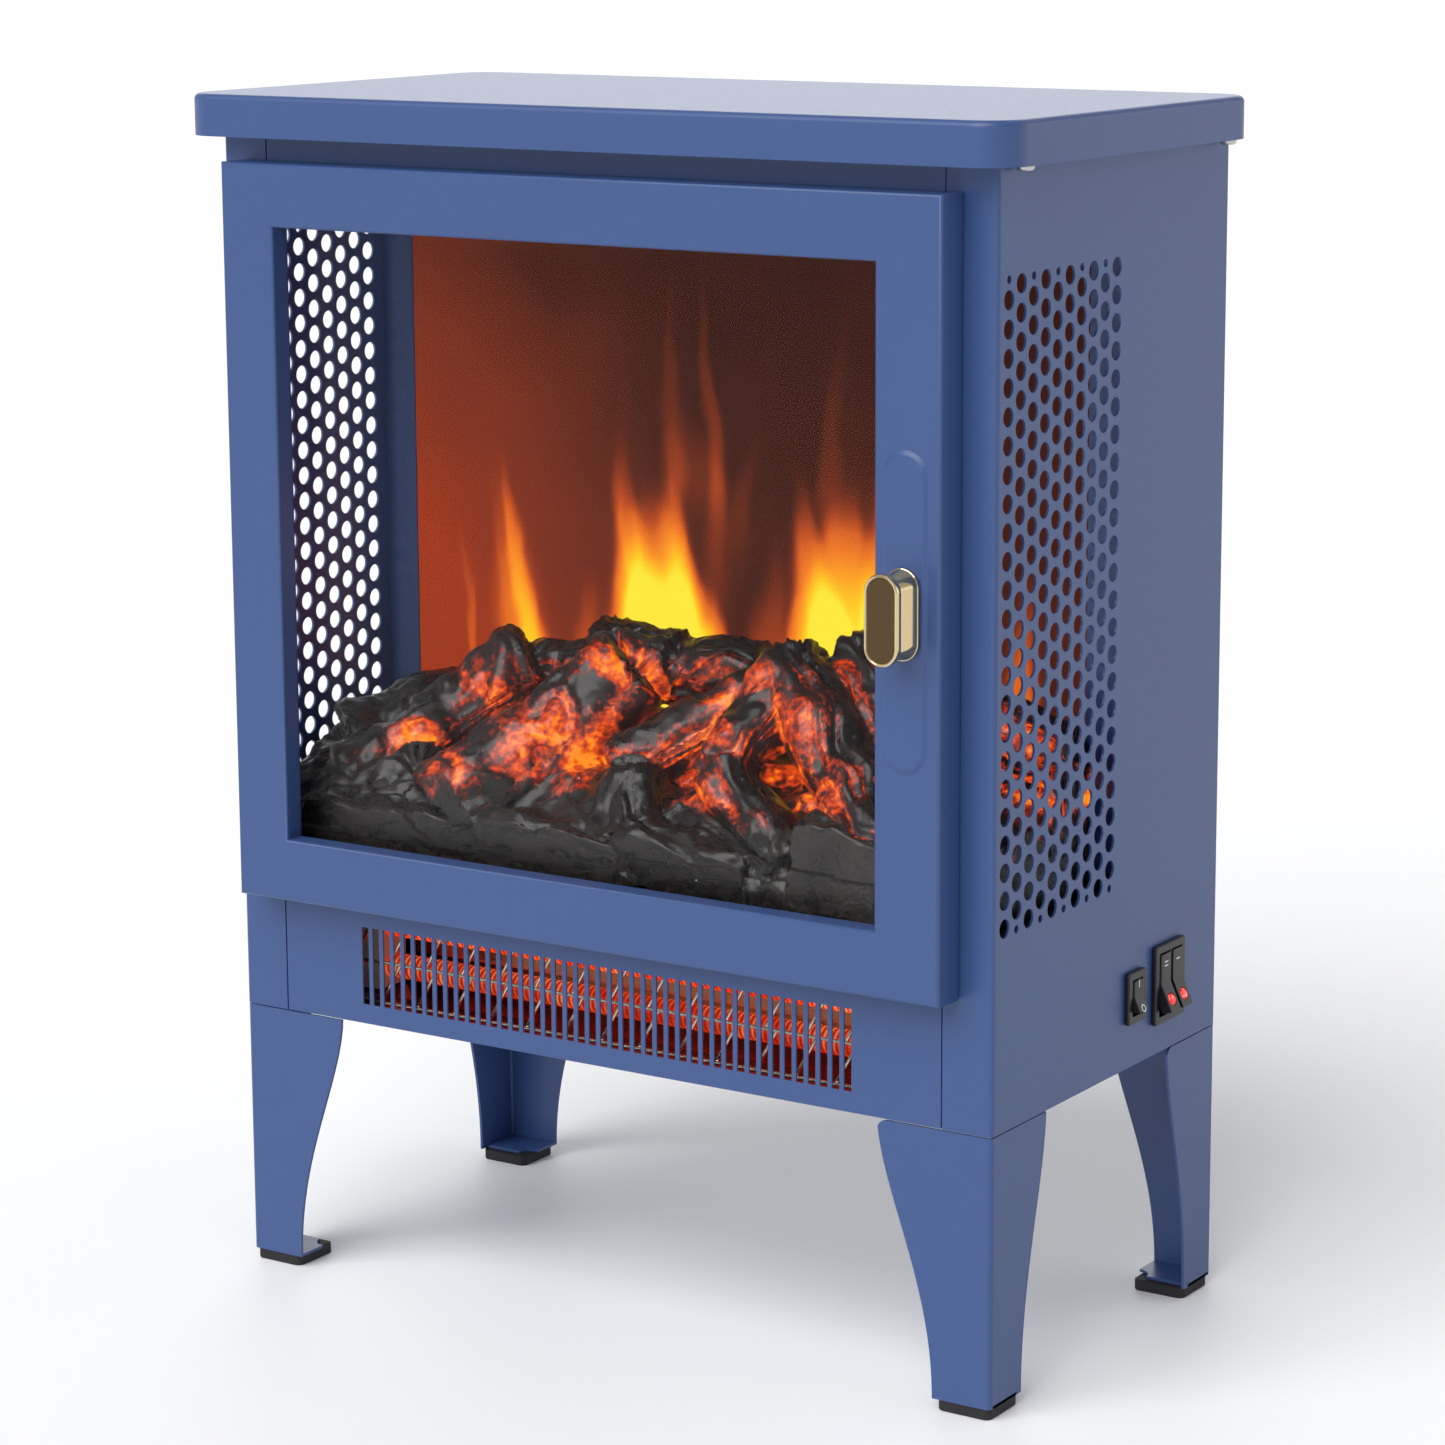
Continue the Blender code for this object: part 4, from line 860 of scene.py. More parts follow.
@dataclass(frozen=True)
class CharredResin(Finish):
    """Cast resin painted as charred logs: black, satin bark over amber that glows where it is thin.

    The mesh carries two values: ember, how much light comes through, and ash, how grey the char is.
    """

    def surface(self, tree: bpy.types.NodeTree, shader: bpy.types.Node) -> None:
        """Amber light broken up by painted char, with grey dry-brushed ash on the high spots.

        Args:
            tree: the material's node tree.
            shader: its Principled shader.
        """
        here = self.place_in(tree)
        ember = add_node(tree, "Attribute", attribute_name="ember").outputs["Fac"]
        ash = add_node(tree, "Attribute", attribute_name="ash").outputs["Fac"]
        flow = add_node(tree, "Attribute", attribute_name="flow").outputs["Vector"]
        along = add_node(tree, "Mapping", {"Vector": flow, "Scale": (0.3, 1, 1)}).outputs["Vector"]
        bend = add_node(tree, "TexNoise", {"Vector": here, "Scale": 1 / (12 * MM), "Detail": 2.0})
        bent = add_node(tree, "VectorMath", {0: along, 1: add_node(
            tree, "VectorMath", {0: bend.outputs["Color"], 1: (0.007, 0.007, 0.007)},
            operation="MULTIPLY").outputs[0]}, operation="ADD").outputs[0]
        strokes = add_node(tree, "TexNoise", {"Vector": bent, "Scale": 1 / (7 * MM),
                                              "Detail": 4.0, "Roughness": 0.55}).outputs["Fac"]
        flecks = add_node(tree, "TexNoise", {"Vector": here, "Scale": 1 / (2.6 * MM),
                                             "Detail": 3.0}).outputs["Fac"]
        paint = calc(tree, "MULTIPLY_ADD", flecks, 0.45, strokes)
        level = calc(tree, "SUBTRACT", calc(tree, "MULTIPLY", ember, 1.12),
                     calc(tree, "MULTIPLY_ADD", paint, 2.4, -1.14))
        lit = add_node(tree, "MapRange", {"Value": level, "From Min": -0.12, "From Max": 0.84,
                                          "To Min": 0.0, "To Max": 1.0},
                       interpolation_type="SMOOTHSTEP").outputs["Result"]
        glow = ramp(tree, lit, ((0.0, "#000000"), (0.16, "#3a0d06"), (0.42, "#8f240c"),
                                (0.68, "#d2400a"), (0.9, "#f4640c"), (1.0, "#ff941c")))
        char = ramp(tree, paint, ((0.5, "#0e0c0b"), (0.72, "#1a1716"), (0.9, "#262120")))
        dry = calc(tree, "MULTIPLY", ash, self.spread(tree, flecks, 0.0, 1.0), clamp=True)
        colour = add_node(tree, "Mix", {"Factor": dry, "A": char, "B": srgb("#3b3734")},
                          data_type="RGBA").outputs["Result"]
        tree.links.new(colour, shader.inputs["Base Color"])
        tree.links.new(glow, shader.inputs["Emission Color"])
        shader.inputs["Emission Strength"].default_value = 1.0
        rough = calc(tree, "MULTIPLY_ADD", strokes, 0.36, 0.1)
        tree.links.new(rough, shader.inputs["Roughness"])
        height = calc(tree, "MULTIPLY_ADD", flecks, 0.5, strokes)
        self.relief(tree, shader, height, self.relief_mm)


@dataclass(frozen=True)
class PaleFloor(Finish):
    """A seamless pale studio floor."""

    def surface(self, tree: bpy.types.NodeTree, shader: bpy.types.Node) -> None:
        """Almost even, with slow soft patches.

        Args:
            tree: the material's node tree.
            shader: its Principled shader.
        """
        tree.links.new(self.tint(tree, self.pattern(tree, 800, 1), 0.01),
                       shader.inputs["Base Color"])
        shader.inputs["Roughness"].default_value = self.rough


# Folded sheet steel, sprayed with polyester powder and baked: satin, with a soft wide highlight
# that the orange peel breaks up very slightly, and now and then a dust nib under the skin.
BLUE_STEEL = PowderCoat("blue_powder_coat", "blue_paint", "#334c7e", 0.36, relief_mm=0.035)
# The same powder in a near-black shade, for the plates inside: it takes light and gives none back.
DARK_STEEL = PowderCoat("dark_powder_coat", "dark_paint", "#23262e", 0.55, relief_mm=0.04)
# Bright zinc plate on screws, pins and brackets: grey, half mirror, drawn lines in its shine.
ZINC = BrushedMetal("zinc_plate", "zinc_plate", "#c2c2bd", 0.34, 1.0, 0.6, 0.01)
# Cold-rolled steel left bare on the blower: duller than zinc, with rolling lines.
PRESSED_STEEL = BrushedMetal("pressed_steel", "blower_steel", "#a3a7ab", 0.4, 1.0, 0.8, 0.01)
# Copper-toned anodised aluminium behind the heater: it doubles the glow of the tubes.
COPPER_MIRROR = BrushedMetal("copper_mirror", "copper_mirror", "#d39a72", 0.22, 1.0, 0.8, 0.01)
# Polished zinc casting with a champagne plate: sharp pale reflections and no grain to be seen.
GILT = Finish("pale_gilt_plate", "gold_plate", "#d9c59a", 0.1, 1.0, 2.0, 0.001)
# The handle's flat face: the same plate in a darker colour, a dark mirror in a pale rim.
DARK_GILT = Finish("dark_gilt_plate", "gold_plate", "#5a4a34", 0.14, 1.0, 2.0, 0.001)
# Tempered float glass, 3 mm: clear, with only a faint mirror on its surface.
GLASS = ClearGlass("clear_glass", "clear_glass", "#ffffff", 0.02)
# Slip-cast steatite, unglazed: chalky and warm white, no shine.
CERAMIC = Finish("unglazed_ceramic", "ceramic_white", "#d8d2c4", 0.7, 0.0, 0.8, 0.03, 1.55)
# Moulded ABS with a fine spark texture: black, with a soft grey sheen on every edge.
ABS = Finish("moulded_abs", "black_plastic", "#121214", 0.34, 0.0, 0.7, 0.02, 1.46)
# Pad-printed ink, a few hundredths thick: flat white on the black plastic.
WHITE_INK = Finish("white_pad_print", "black_plastic", "#d8dadd", 0.5, 0.0, 0.5, 0.004)
# Moulded rubber: nearly black, dry, swallows highlights.
RUBBER = Finish("moulded_rubber", "black_rubber", "#17171a", 0.75, 0.0, 0.6, 0.04, 1.52)
# Glass-epoxy laminate under green solder mask: smooth and lightly glossy.
BOARD = Finish("solder_mask", "circuit_board", "#1d5a31", 0.4, 0.0, 1.5, 0.02)
# Nickel-plated drawn wire: thin bright lines that catch the glow behind them.
BRIGHT_WIRE = BrushedMetal("bright_wire", "wire_steel", "#d9cbb8", 0.25, 1.0, 0.5, 0.005)
# Quartz tube round a coiled wire at red heat: the turns show through as bright bands. The turns
# are drawn coarser than the real ones, which are too fine to show.
HOT_UPPER = Glow("hot_quartz_upper", "glow_quartz", "#ff3c10", 0.25, strength=1.0)
# The lower tube runs cooler: a deeper red.
HOT_LOWER = Glow("hot_quartz_lower", "glow_quartz", "#d92a08", 0.25, strength=0.8)
# Clear red acrylic over a neon lamp: mottled by the moulded back.
RED_LENS = Lamp("red_lens", "red_lens", "#ff1c1c", 0.15, strength=0.9)
# Matt painted studio floor: even and pale, so that the shadow under the stove stays soft.
FLOOR = PaleFloor("pale_floor", "", "#f4f4f4", 0.6)
# Cast polyester resin, painted by hand: glossy black bark with amber that shines through where
# the paint is thin, and grey dry-brushed ash on the high spots.
LOGS = CharredResin("charred_resin", "char_resin", "#191614", 0.3, relief_mm=0.45, ior=1.42)
# Frosted acrylic sheet lit from behind: no surface of its own to see, only the soft light in it.
FLAMES = FlameScreen("flame_screen", "flame_film", "#42201c", 0.5, ior=1.12, tongues=(
    Tongue(-137, 58, -145, 138, 2.6, 0.22), Tongue(-103, 52, -120, 152, 6.2, 0.42),
    Tongue(-110, 66, -124, 150, 13.0, 0.32), Tongue(-118, 60, -130, 116, 20.0, 0.08),
    Tongue(-76, 62, -76, 104, 6.0, 0.2), Tongue(-46, 66, -58, 150, 13.0, 0.66),
    Tongue(-24, 66, -33, 144, 13.0, 0.6), Tongue(-35, 66, -42, 136, 23.0, 0.82),
    Tongue(-50, 60, -64, 134, 16.0, 0.14), Tongue(-8, 56, -14, 104, 8.0, 0.24),
    Tongue(-8, 134, -20, 232, 5.0, 0.13), Tongue(-28, 142, -36, 234, 4.0, 0.09),
    Tongue(-20, 140, -26, 172, 14.0, 0.09), Tongue(2, 126, 6, 166, 4.0, 0.07),
    Tongue(-58, 116, -58, 232, 3.0, 0.035), Tongue(14, 56, 20, 122, 10.0, 0.18),
    Tongue(42, 68, 32, 144, 12.0, 0.55), Tongue(54, 70, 54, 138, 23.0, 0.88),
    Tongue(74, 72, 70, 144, 12.0, 0.55), Tongue(56, 90, 54, 170, 30.0, 0.1),
    Tongue(46, 146, 52, 228, 5.0, 0.05), Tongue(108, 66, 102, 132, 12.0, 0.42),
    Tongue(134, 60, 140, 118, 10.0, 0.32), Tongue(-100, 30, -60, 96, 60.0, 0.05),
))


# ---------------------------------------------------------------- cabinet

@dataclass
class Cabinet:
    """Folded steel shell: side panels, front and back sheets, and the perforated fields.

    Attributes:
        sheet: thickness of the steel.
        bend: outer radius of a fold.
        flange: width of the side panels' front flanges.
        rear_flange: width of the folds that the back panel is screwed to.
        hole: diameter of a full perforation.
        small_hole: diameter of the small ones that close each column.
        pitch: distance between holes in a column.
        columns, rows: how many columns, and full holes in each.
        first: distance from the front face to the first column.
        lowest: height of the first column's lowest full hole.
        slots: how many warm-air slots the front has.
        slot_pitch, slot_width: distance between them, and width of each.
        slot_low, slot_high: heights of their ends.
        window_clear, window_sill: how much wider than the door's window the front sheet's own is,
            at the sides and top, and at the sill.
        vent_x: distance of each bank of rear slots from the middle.
        vent_width, vent_height, vent_step: size of a rear slot, and distance between two.
        vent_rows: how many slots a bank has.
        vent_low: height of the lowest one.
        gland_bore: diameter of the hole for the cord gland.
        screw: diameter of a back panel screw's head.
        edge: rounding of a cut edge.
    """

    sheet: float = 1.0 * MM
    bend: float = 2.0 * MM
    flange: float = 22 * MM
    rear_flange: float = 12 * MM
    hole: float = 7.6 * MM
    small_hole: float = 3.3 * MM
    pitch: float = 10.84 * MM
    columns: int = 10
    rows: int = 23
    first: float = 8.4 * MM
    lowest: float = 194.7 * MM
    slots: int = 44
    slot_pitch: float = 5.49 * MM
    slot_width: float = 3.3 * MM
    slot_low: float = 122.7 * MM
    slot_high: float = 155.9 * MM
    window_clear: float = 6 * MM
    window_sill: float = 3 * MM
    vent_x: float = 80 * MM
    vent_width: float = 68 * MM
    vent_height: float = 4 * MM
    vent_step: float = 9 * MM
    vent_rows: int = 8
    vent_low: float = 150 * MM
    gland_bore: float = 13.6 * MM
    screw: float = 6.4 * MM
    edge: float = 0.25 * MM

    def __post_init__(self) -> None:
        """Read the shell's box from the frame."""
        self.low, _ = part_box("left_side_panel")
        _, self.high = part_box("right_side_panel")

    def build(self) -> None:
        """Make every sheet of the shell."""
        for side in (-1, 1):
            self.side_panel(side)
        self.front_panel()
        self.back_panel()

    def perforations(self, side: int) -> bpy.types.Object:
        """All the holes of one side panel, as rods that pass through its web.

        Args:
            side: -1 for the left, 1 for the right.

        Returns:
            One object that holds every rod.
        """
        x = self.high.x * side
        column_step = self.pitch * math.sqrt(3) / 2
        edge_step = self.pitch / 2 + (self.hole - self.small_hole) / 2
        rods = []
        for column in range(self.columns):
            raised = column % 2
            y = self.low.y + self.first + column * column_step
            z = self.lowest + raised * self.pitch / 2
            first = add_rod("hole", Axis.X, (x, y, z), self.hole / 2, 8 * self.sheet, 20)
            apply_modifier(first, "ARRAY", count=self.rows, use_relative_offset=False,
                           use_constant_offset=True, constant_offset_displace=(0, 0, self.pitch))
            last = z + (self.rows - 1) * self.pitch
            small_z = z - edge_step if raised else last + edge_step
            small = add_rod("hole", Axis.X, (x, y, small_z), self.small_hole / 2,
                            8 * self.sheet, 12)
            rods += [first, small]
        return join("holes", rods)

    def side_panel(self, side: int) -> None:
        """One folded and perforated side; side is -1 for the left and 1 for the right.

        Args:
            side: -1 for the left, 1 for the right.
        """
        name = "left_side_panel" if side < 0 else "right_side_panel"
        x = self.high.x * side
        front, back = self.low.y, self.high.y
        bottom, top = self.low.z, self.high.z
        panel = add_sheet(f"{name}_shell", [(x, front, bottom), (x, back, bottom),
                                            (x, back, top), (x, front, top)])
        with editing(panel, "EDGE"):
            pick_edges(lambda mid, run: abs(mid.y - front) < MM)
            extrude_edges((-side * self.flange, 0, 0))
            pick_edges(lambda mid, run: abs(mid.y - back) < MM and abs(run.z) > 0.9)
            extrude_edges((-side * self.rear_flange, 0, 0))
            pick_edges(lambda mid, run: abs(mid.x - x) < MM and abs(run.z) > 0.9)
            bpy.ops.mesh.bevel(offset=self.bend, segments=6, affect="EDGES")
        thicken(panel, self.sheet, Vector((side, 0, 0)), lambda mid, way: abs(way.x) > 0.99)
        combine(panel, self.perforations(side), Cut.TAKE)
        if side > 0:
            for switch in ("power_switch_body", "heat_switch_body"):
                low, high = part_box(switch)
                rim = 2 * MM
                tool = add_box("switch_hole", (x - 5 * MM, low.y + rim, low.z + rim),
                               (x + 5 * MM, high.y - rim, high.z - rim))
                combine(panel, tool, Cut.TAKE)
        place(panel, BLUE_STEEL, stands_for=[name], degrees=30)

    def front_panel(self) -> None:
        """The centre sheet with its window opening and the row of warm-air slots."""
        low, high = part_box("front_panel")
        panel = add_box("front_panel_shell", low, high)
        door_low, door_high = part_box("door_frame")
        left, right, bottom, top = Door.window(door_low, door_high)
        clear = self.window_clear
        tool = add_box("window", (left - clear, low.y - MM, bottom - self.window_sill),
                       (right + clear, high.y + MM, top + clear))
        combine(panel, tool, Cut.TAKE)
        first = -(self.slots - 1) / 2 * self.slot_pitch
        slot = add_box("slot", (first - self.slot_width / 2, low.y - MM, self.slot_low),
                       (first + self.slot_width / 2, high.y + MM, self.slot_high))
        apply_modifier(slot, "ARRAY", count=self.slots, use_relative_offset=False,
                       use_constant_offset=True,
                       constant_offset_displace=(self.slot_pitch, 0, 0))
        combine(panel, slot, Cut.TAKE)
        round_edges(panel, 0.28 * MM, 2, 60)
        place(panel, BLUE_STEEL, stands_for=["front_panel"], degrees=50)

    def back_panel(self) -> None:
        """The rear sheet, with two banks of air slots, the gland's hole and six edge screws."""
        low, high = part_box("back_panel")
        sheet = add_box("back_panel_shell", low, high)
        half = Vector((self.vent_width / 2, high.y - low.y + MM, self.vent_height / 2))
        for bank in (-self.vent_x, self.vent_x):
            middle = Vector((bank, (low.y + high.y) / 2, self.vent_low))
            tool = add_box("vent", middle - half, middle + half)
            apply_modifier(tool, "ARRAY", count=self.vent_rows, use_relative_offset=False,
                           use_constant_offset=True,
                           constant_offset_displace=(0, 0, self.vent_step))
            combine(sheet, tool, Cut.TAKE)
        gland_low, gland_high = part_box("cord_gland")
        middle = (gland_low + gland_high) / 2
        bore = add_rod("gland_hole", Axis.Y, (middle.x, high.y, middle.z), self.gland_bore / 2,
                       8 * self.sheet)
        combine(sheet, bore, Cut.TAKE)
        round_edges(sheet, self.edge, 2, 60)
        place(sheet, BLUE_STEEL, stands_for=["back_panel"], degrees=50)
        for number in range(6):
            side = -1 if number % 2 else 1
            z = low.z + 14 * MM + (number // 2) * (high.z - low.z - 28 * MM) / 2
            screw_head(f"back_screw_{number + 1}", Vector((side * (high.x - 5 * MM), high.y, z)),
                       Vector((0, 1, 0)), self.screw / 2, BODY)


def screw_head(name: str, seat: Vector, out: Vector, radius: float, body: str,
               stands_for: Sequence[str] = ()) -> None:
    """A domed pan head with a cross recess, on a seat, facing out.

    Args:
        name: the piece's name.
        seat: centre of the face it is screwed against.
        out: the way the head faces.
        radius: radius of the head.
        body: the body it moves with.
        stands_for: frame nodes that it replaces.
    """
    head = add_rod(name, Axis.Z, (0, 0, radius * 0.35), radius, radius * 0.7, 28)
    with editing(head, "EDGE"):
        pick_edges(lambda mid, run: mid.z > radius * 0.6)
        bpy.ops.mesh.bevel(offset=radius * 0.42, segments=5, affect="EDGES")
    for length, width in ((1.1, 0.24), (0.24, 1.1)):
        tool = add_box("cross", (-length * radius / 2, -width * radius / 2, radius * 0.4),
                       (length * radius / 2, width * radius / 2, radius * 1.2))
        combine(head, tool, Cut.TAKE)
    turn = Vector((0, 0, 1)).rotation_difference(out).to_matrix().to_4x4()
    head.data.transform(Matrix.Translation(seat) @ turn)
    place(head, ZINC, body, stands_for)


@dataclass
class Lid:
    """The top: a folded pan with round corners and a soft upper edge, on its screwed plate.

    Attributes:
        corner: radius of an upright corner.
        edge: radius of the upper edge.
        wall: thickness of the skirt.
        hem: width of the hem folded in at the bottom.
        fold: height of that hem.
        roof: thickness left under the top.
    """

    corner: float = 16 * MM
    edge: float = 2.6 * MM
    wall: float = 1.0 * MM
    hem: float = 9 * MM
    fold: float = 2.2 * MM
    roof: float = 1.2 * MM

    def build(self) -> None:
        """Make the pan and its four screws."""
        low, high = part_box("top_lid")
        pan = add_box("lid_pan", low, high)
        with editing(pan, "EDGE"):
            pick_edges(lambda mid, run: abs(run.z) > 0.9)
            bpy.ops.mesh.bevel(offset=self.corner, segments=12, affect="EDGES")
            pick_edges(lambda mid, run: abs(mid.z - high.z) < 0.1 * MM and abs(run.z) < 0.1)
            bpy.ops.mesh.bevel(offset=self.edge, segments=6, affect="EDGES")
        with editing(pan):
            pick_faces(lambda mid, way: way.z < -0.9 and abs(mid.z - low.z) < 0.1 * MM)
            bpy.ops.mesh.inset(thickness=self.wall)
            extrude((0, 0, self.fold))
            bpy.ops.mesh.inset(thickness=self.hem)
            extrude((0, 0, high.z - low.z - self.fold - self.roof))
        place(pan, BLUE_STEEL, stands_for=["top_lid"], degrees=40)
        for number in range(1, 5):
            s_low, s_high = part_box(f"lid_screw_{number}")
            middle = (s_low + s_high) / 2
            screw_head(f"lid_screw_head_{number}", Vector((middle.x, middle.y, s_low.z + 2.4 * MM)),
                       Vector((0, 0, -1)), (s_high.x - s_low.x) / 2, BODY,
                       [f"lid_screw_{number}"])


@dataclass
class Leg:
    """One pressed angle leg: two curved arms with rounded top corners, a foot tab and a pad.

    Attributes:
        name: the frame's node.
        side: -1 for the left, 1 for the right.
        front: 1 for a front leg, -1 for a back one.
        sheet: thickness of the steel.
        bend: radius of the upright fold.
        front_top, front_end: widths of the front arm at the cabinet and at the foot.
        side_top, side_end: the same for the side arm.
        curve: below 1, the arms narrow early.
        levels: bands that the curve is drawn in.
        tab: depth of the foot tab.
        notch: radius of the notch at the tab's inner corner.
        corner: radius of the arms' top corners.
    """

    name: str
    side: int
    front: int
    sheet: float = 1.2 * MM
    bend: float = 2.2 * MM
    front_top: float = 51 * MM
    front_end: float = 26 * MM
    side_top: float = 43 * MM
    side_end: float = 24.5 * MM
    curve: float = 0.8
    levels: int = 28
    tab: float = 21 * MM
    notch: float = 6.5 * MM
    corner: float = 4 * MM

    def reach(self, top: float, end: float, t: float) -> float:
        """Width of an arm, t from 0 at the cabinet to 1 at the foot."""
        t = min(1.0, max(0.0, t))
        return end + (top - end) * (1 + math.cos(math.pi * t ** self.curve)) / 2

    def build(self) -> None:
        """Draw both arms as one strip, fold its edges and give it thickness."""
        low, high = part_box(self.name)
        x = high.x if self.side > 0 else low.x
        y = low.y if self.front > 0 else high.y
        top = high.z - 0.2 * MM
        bottom = low.z
        leg = add_sheet(f"{self.name}_pressing", [
            (x, y, bottom), (x - self.side * self.front_top, y, bottom),
            (x - self.side * self.front_top, y, top), (x, y, top)])
        with editing(leg, "EDGE"):
            pick_edges(lambda mid, run: abs(mid.x - x) < MM and abs(run.z) > 0.9)
            extrude_edges((0, self.front * self.side_top, 0))
            bpy.ops.mesh.select_all(action="SELECT")
            for level in range(1, self.levels):
                z = bottom + (top - bottom) * level / self.levels
                bpy.ops.mesh.select_all(action="SELECT")
                bpy.ops.mesh.bisect(plane_co=(0, 0, z), plane_no=(0, 0, 1))
        for vert in leg.data.vertices:
            t = (top - vert.co.z) / (top - bottom)
            if abs(vert.co.x - x) > MM:
                vert.co.x = x - self.side * self.reach(self.front_top, self.front_end, t)
            elif abs(vert.co.y - y) > MM:
                vert.co.y = y + self.front * self.reach(self.side_top, self.side_end, t)
        with editing(leg, "EDGE"):
            pick_edges(lambda mid, run: abs(mid.z - bottom) < 0.1 * MM and abs(mid.y - y) < MM
                       and abs(run.x) > 0.9)
            extrude_edges((0, self.front * self.tab, 0))
            pick_edges(lambda mid, run: abs(mid.x - x) < 0.1 * MM and abs(mid.y - y) < 0.1 * MM)
            bpy.ops.mesh.bevel(offset=self.bend, segments=5, affect="EDGES")
        thicken(leg, self.sheet, Vector((0, -self.front, 0)),
                lambda mid, way: abs(way.y) > 0.99)
        self.trim(leg, x, y, bottom, top)
        round_edges(leg, 0.3 * MM, 2, 50)
        place(leg, BLUE_STEEL, stands_for=[self.name], degrees=40)
        self.pad()

    def trim(self, leg: bpy.types.Object, x: float, y: float, bottom: float, top: float) -> None:
        """Round the arms' top corners and notch the foot tab at its inner corner.

        Args:
            leg: the folded leg.
            x: place of the side arm's outer face.
            y: place of the front arm's outer face.
            bottom: height of the leg's foot.
            top: height of its upper edge.
        """
        inward, back = -self.side, self.front
        notch = add_rod("notch", Axis.Z, (x + inward * self.front_end, y + back * self.tab, bottom),
                        self.notch, 5 * self.sheet, 24)
        combine(leg, notch, Cut.TAKE)
        for along, end in ((Axis.Y, self.front_top), (Axis.X, self.side_top)):
            step = Vector((inward, 0, 0)) if along is Axis.Y else Vector((0, back, 0))
            seat = Vector((x, y, top)) + step * end
            size = self.corner
            half = Vector((size, size, size))
            block = add_box("corner", seat - half, seat + half)
            centre = seat - step * size - Vector((0, 0, size))
            combine(block, add_rod("round", along, centre, size, 6 * size, 40), Cut.TAKE)
            behind = add_box("keep", seat - step * 3 * size - Vector((2, 2, 1.5)) * size,
                             seat - step * size + Vector((2, 2, 2)) * size)
            combine(block, behind, Cut.TAKE)
            below = add_box("keep", seat - Vector((3, 3, 3)) * size,
                            seat + Vector((3, 3, 0)) * size - Vector((0, 0, size)))
            combine(block, below, Cut.TAKE)
            combine(leg, block, Cut.TAKE)

    def pad(self) -> None:
        """The rubber pad, with a soft lower edge and a moulded step."""
        low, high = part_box(self.name.replace("leg", "foot_pad"))
        pad = add_box(f"{self.name}_pad", low, high)
        with editing(pad, "EDGE"):
            pick_edges(lambda mid, run: abs(run.z) > 0.9)
            bpy.ops.mesh.bevel(offset=3 * MM, segments=6, affect="EDGES")
            pick_edges(lambda mid, run: abs(mid.z - low.z) < 0.1 * MM and abs(run.z) < 0.1)
            bpy.ops.mesh.bevel(offset=0.7 * MM, segments=3, affect="EDGES")
        with editing(pad):
            pick_faces(lambda mid, way: way.z > 0.9)
            bpy.ops.mesh.inset(thickness=0.8 * MM)
            extrude((0, 0, 0.25 * MM))
        place(pad, RUBBER, stands_for=[self.name.replace("leg", "foot_pad")])


# ---------------------------------------------------------------- door

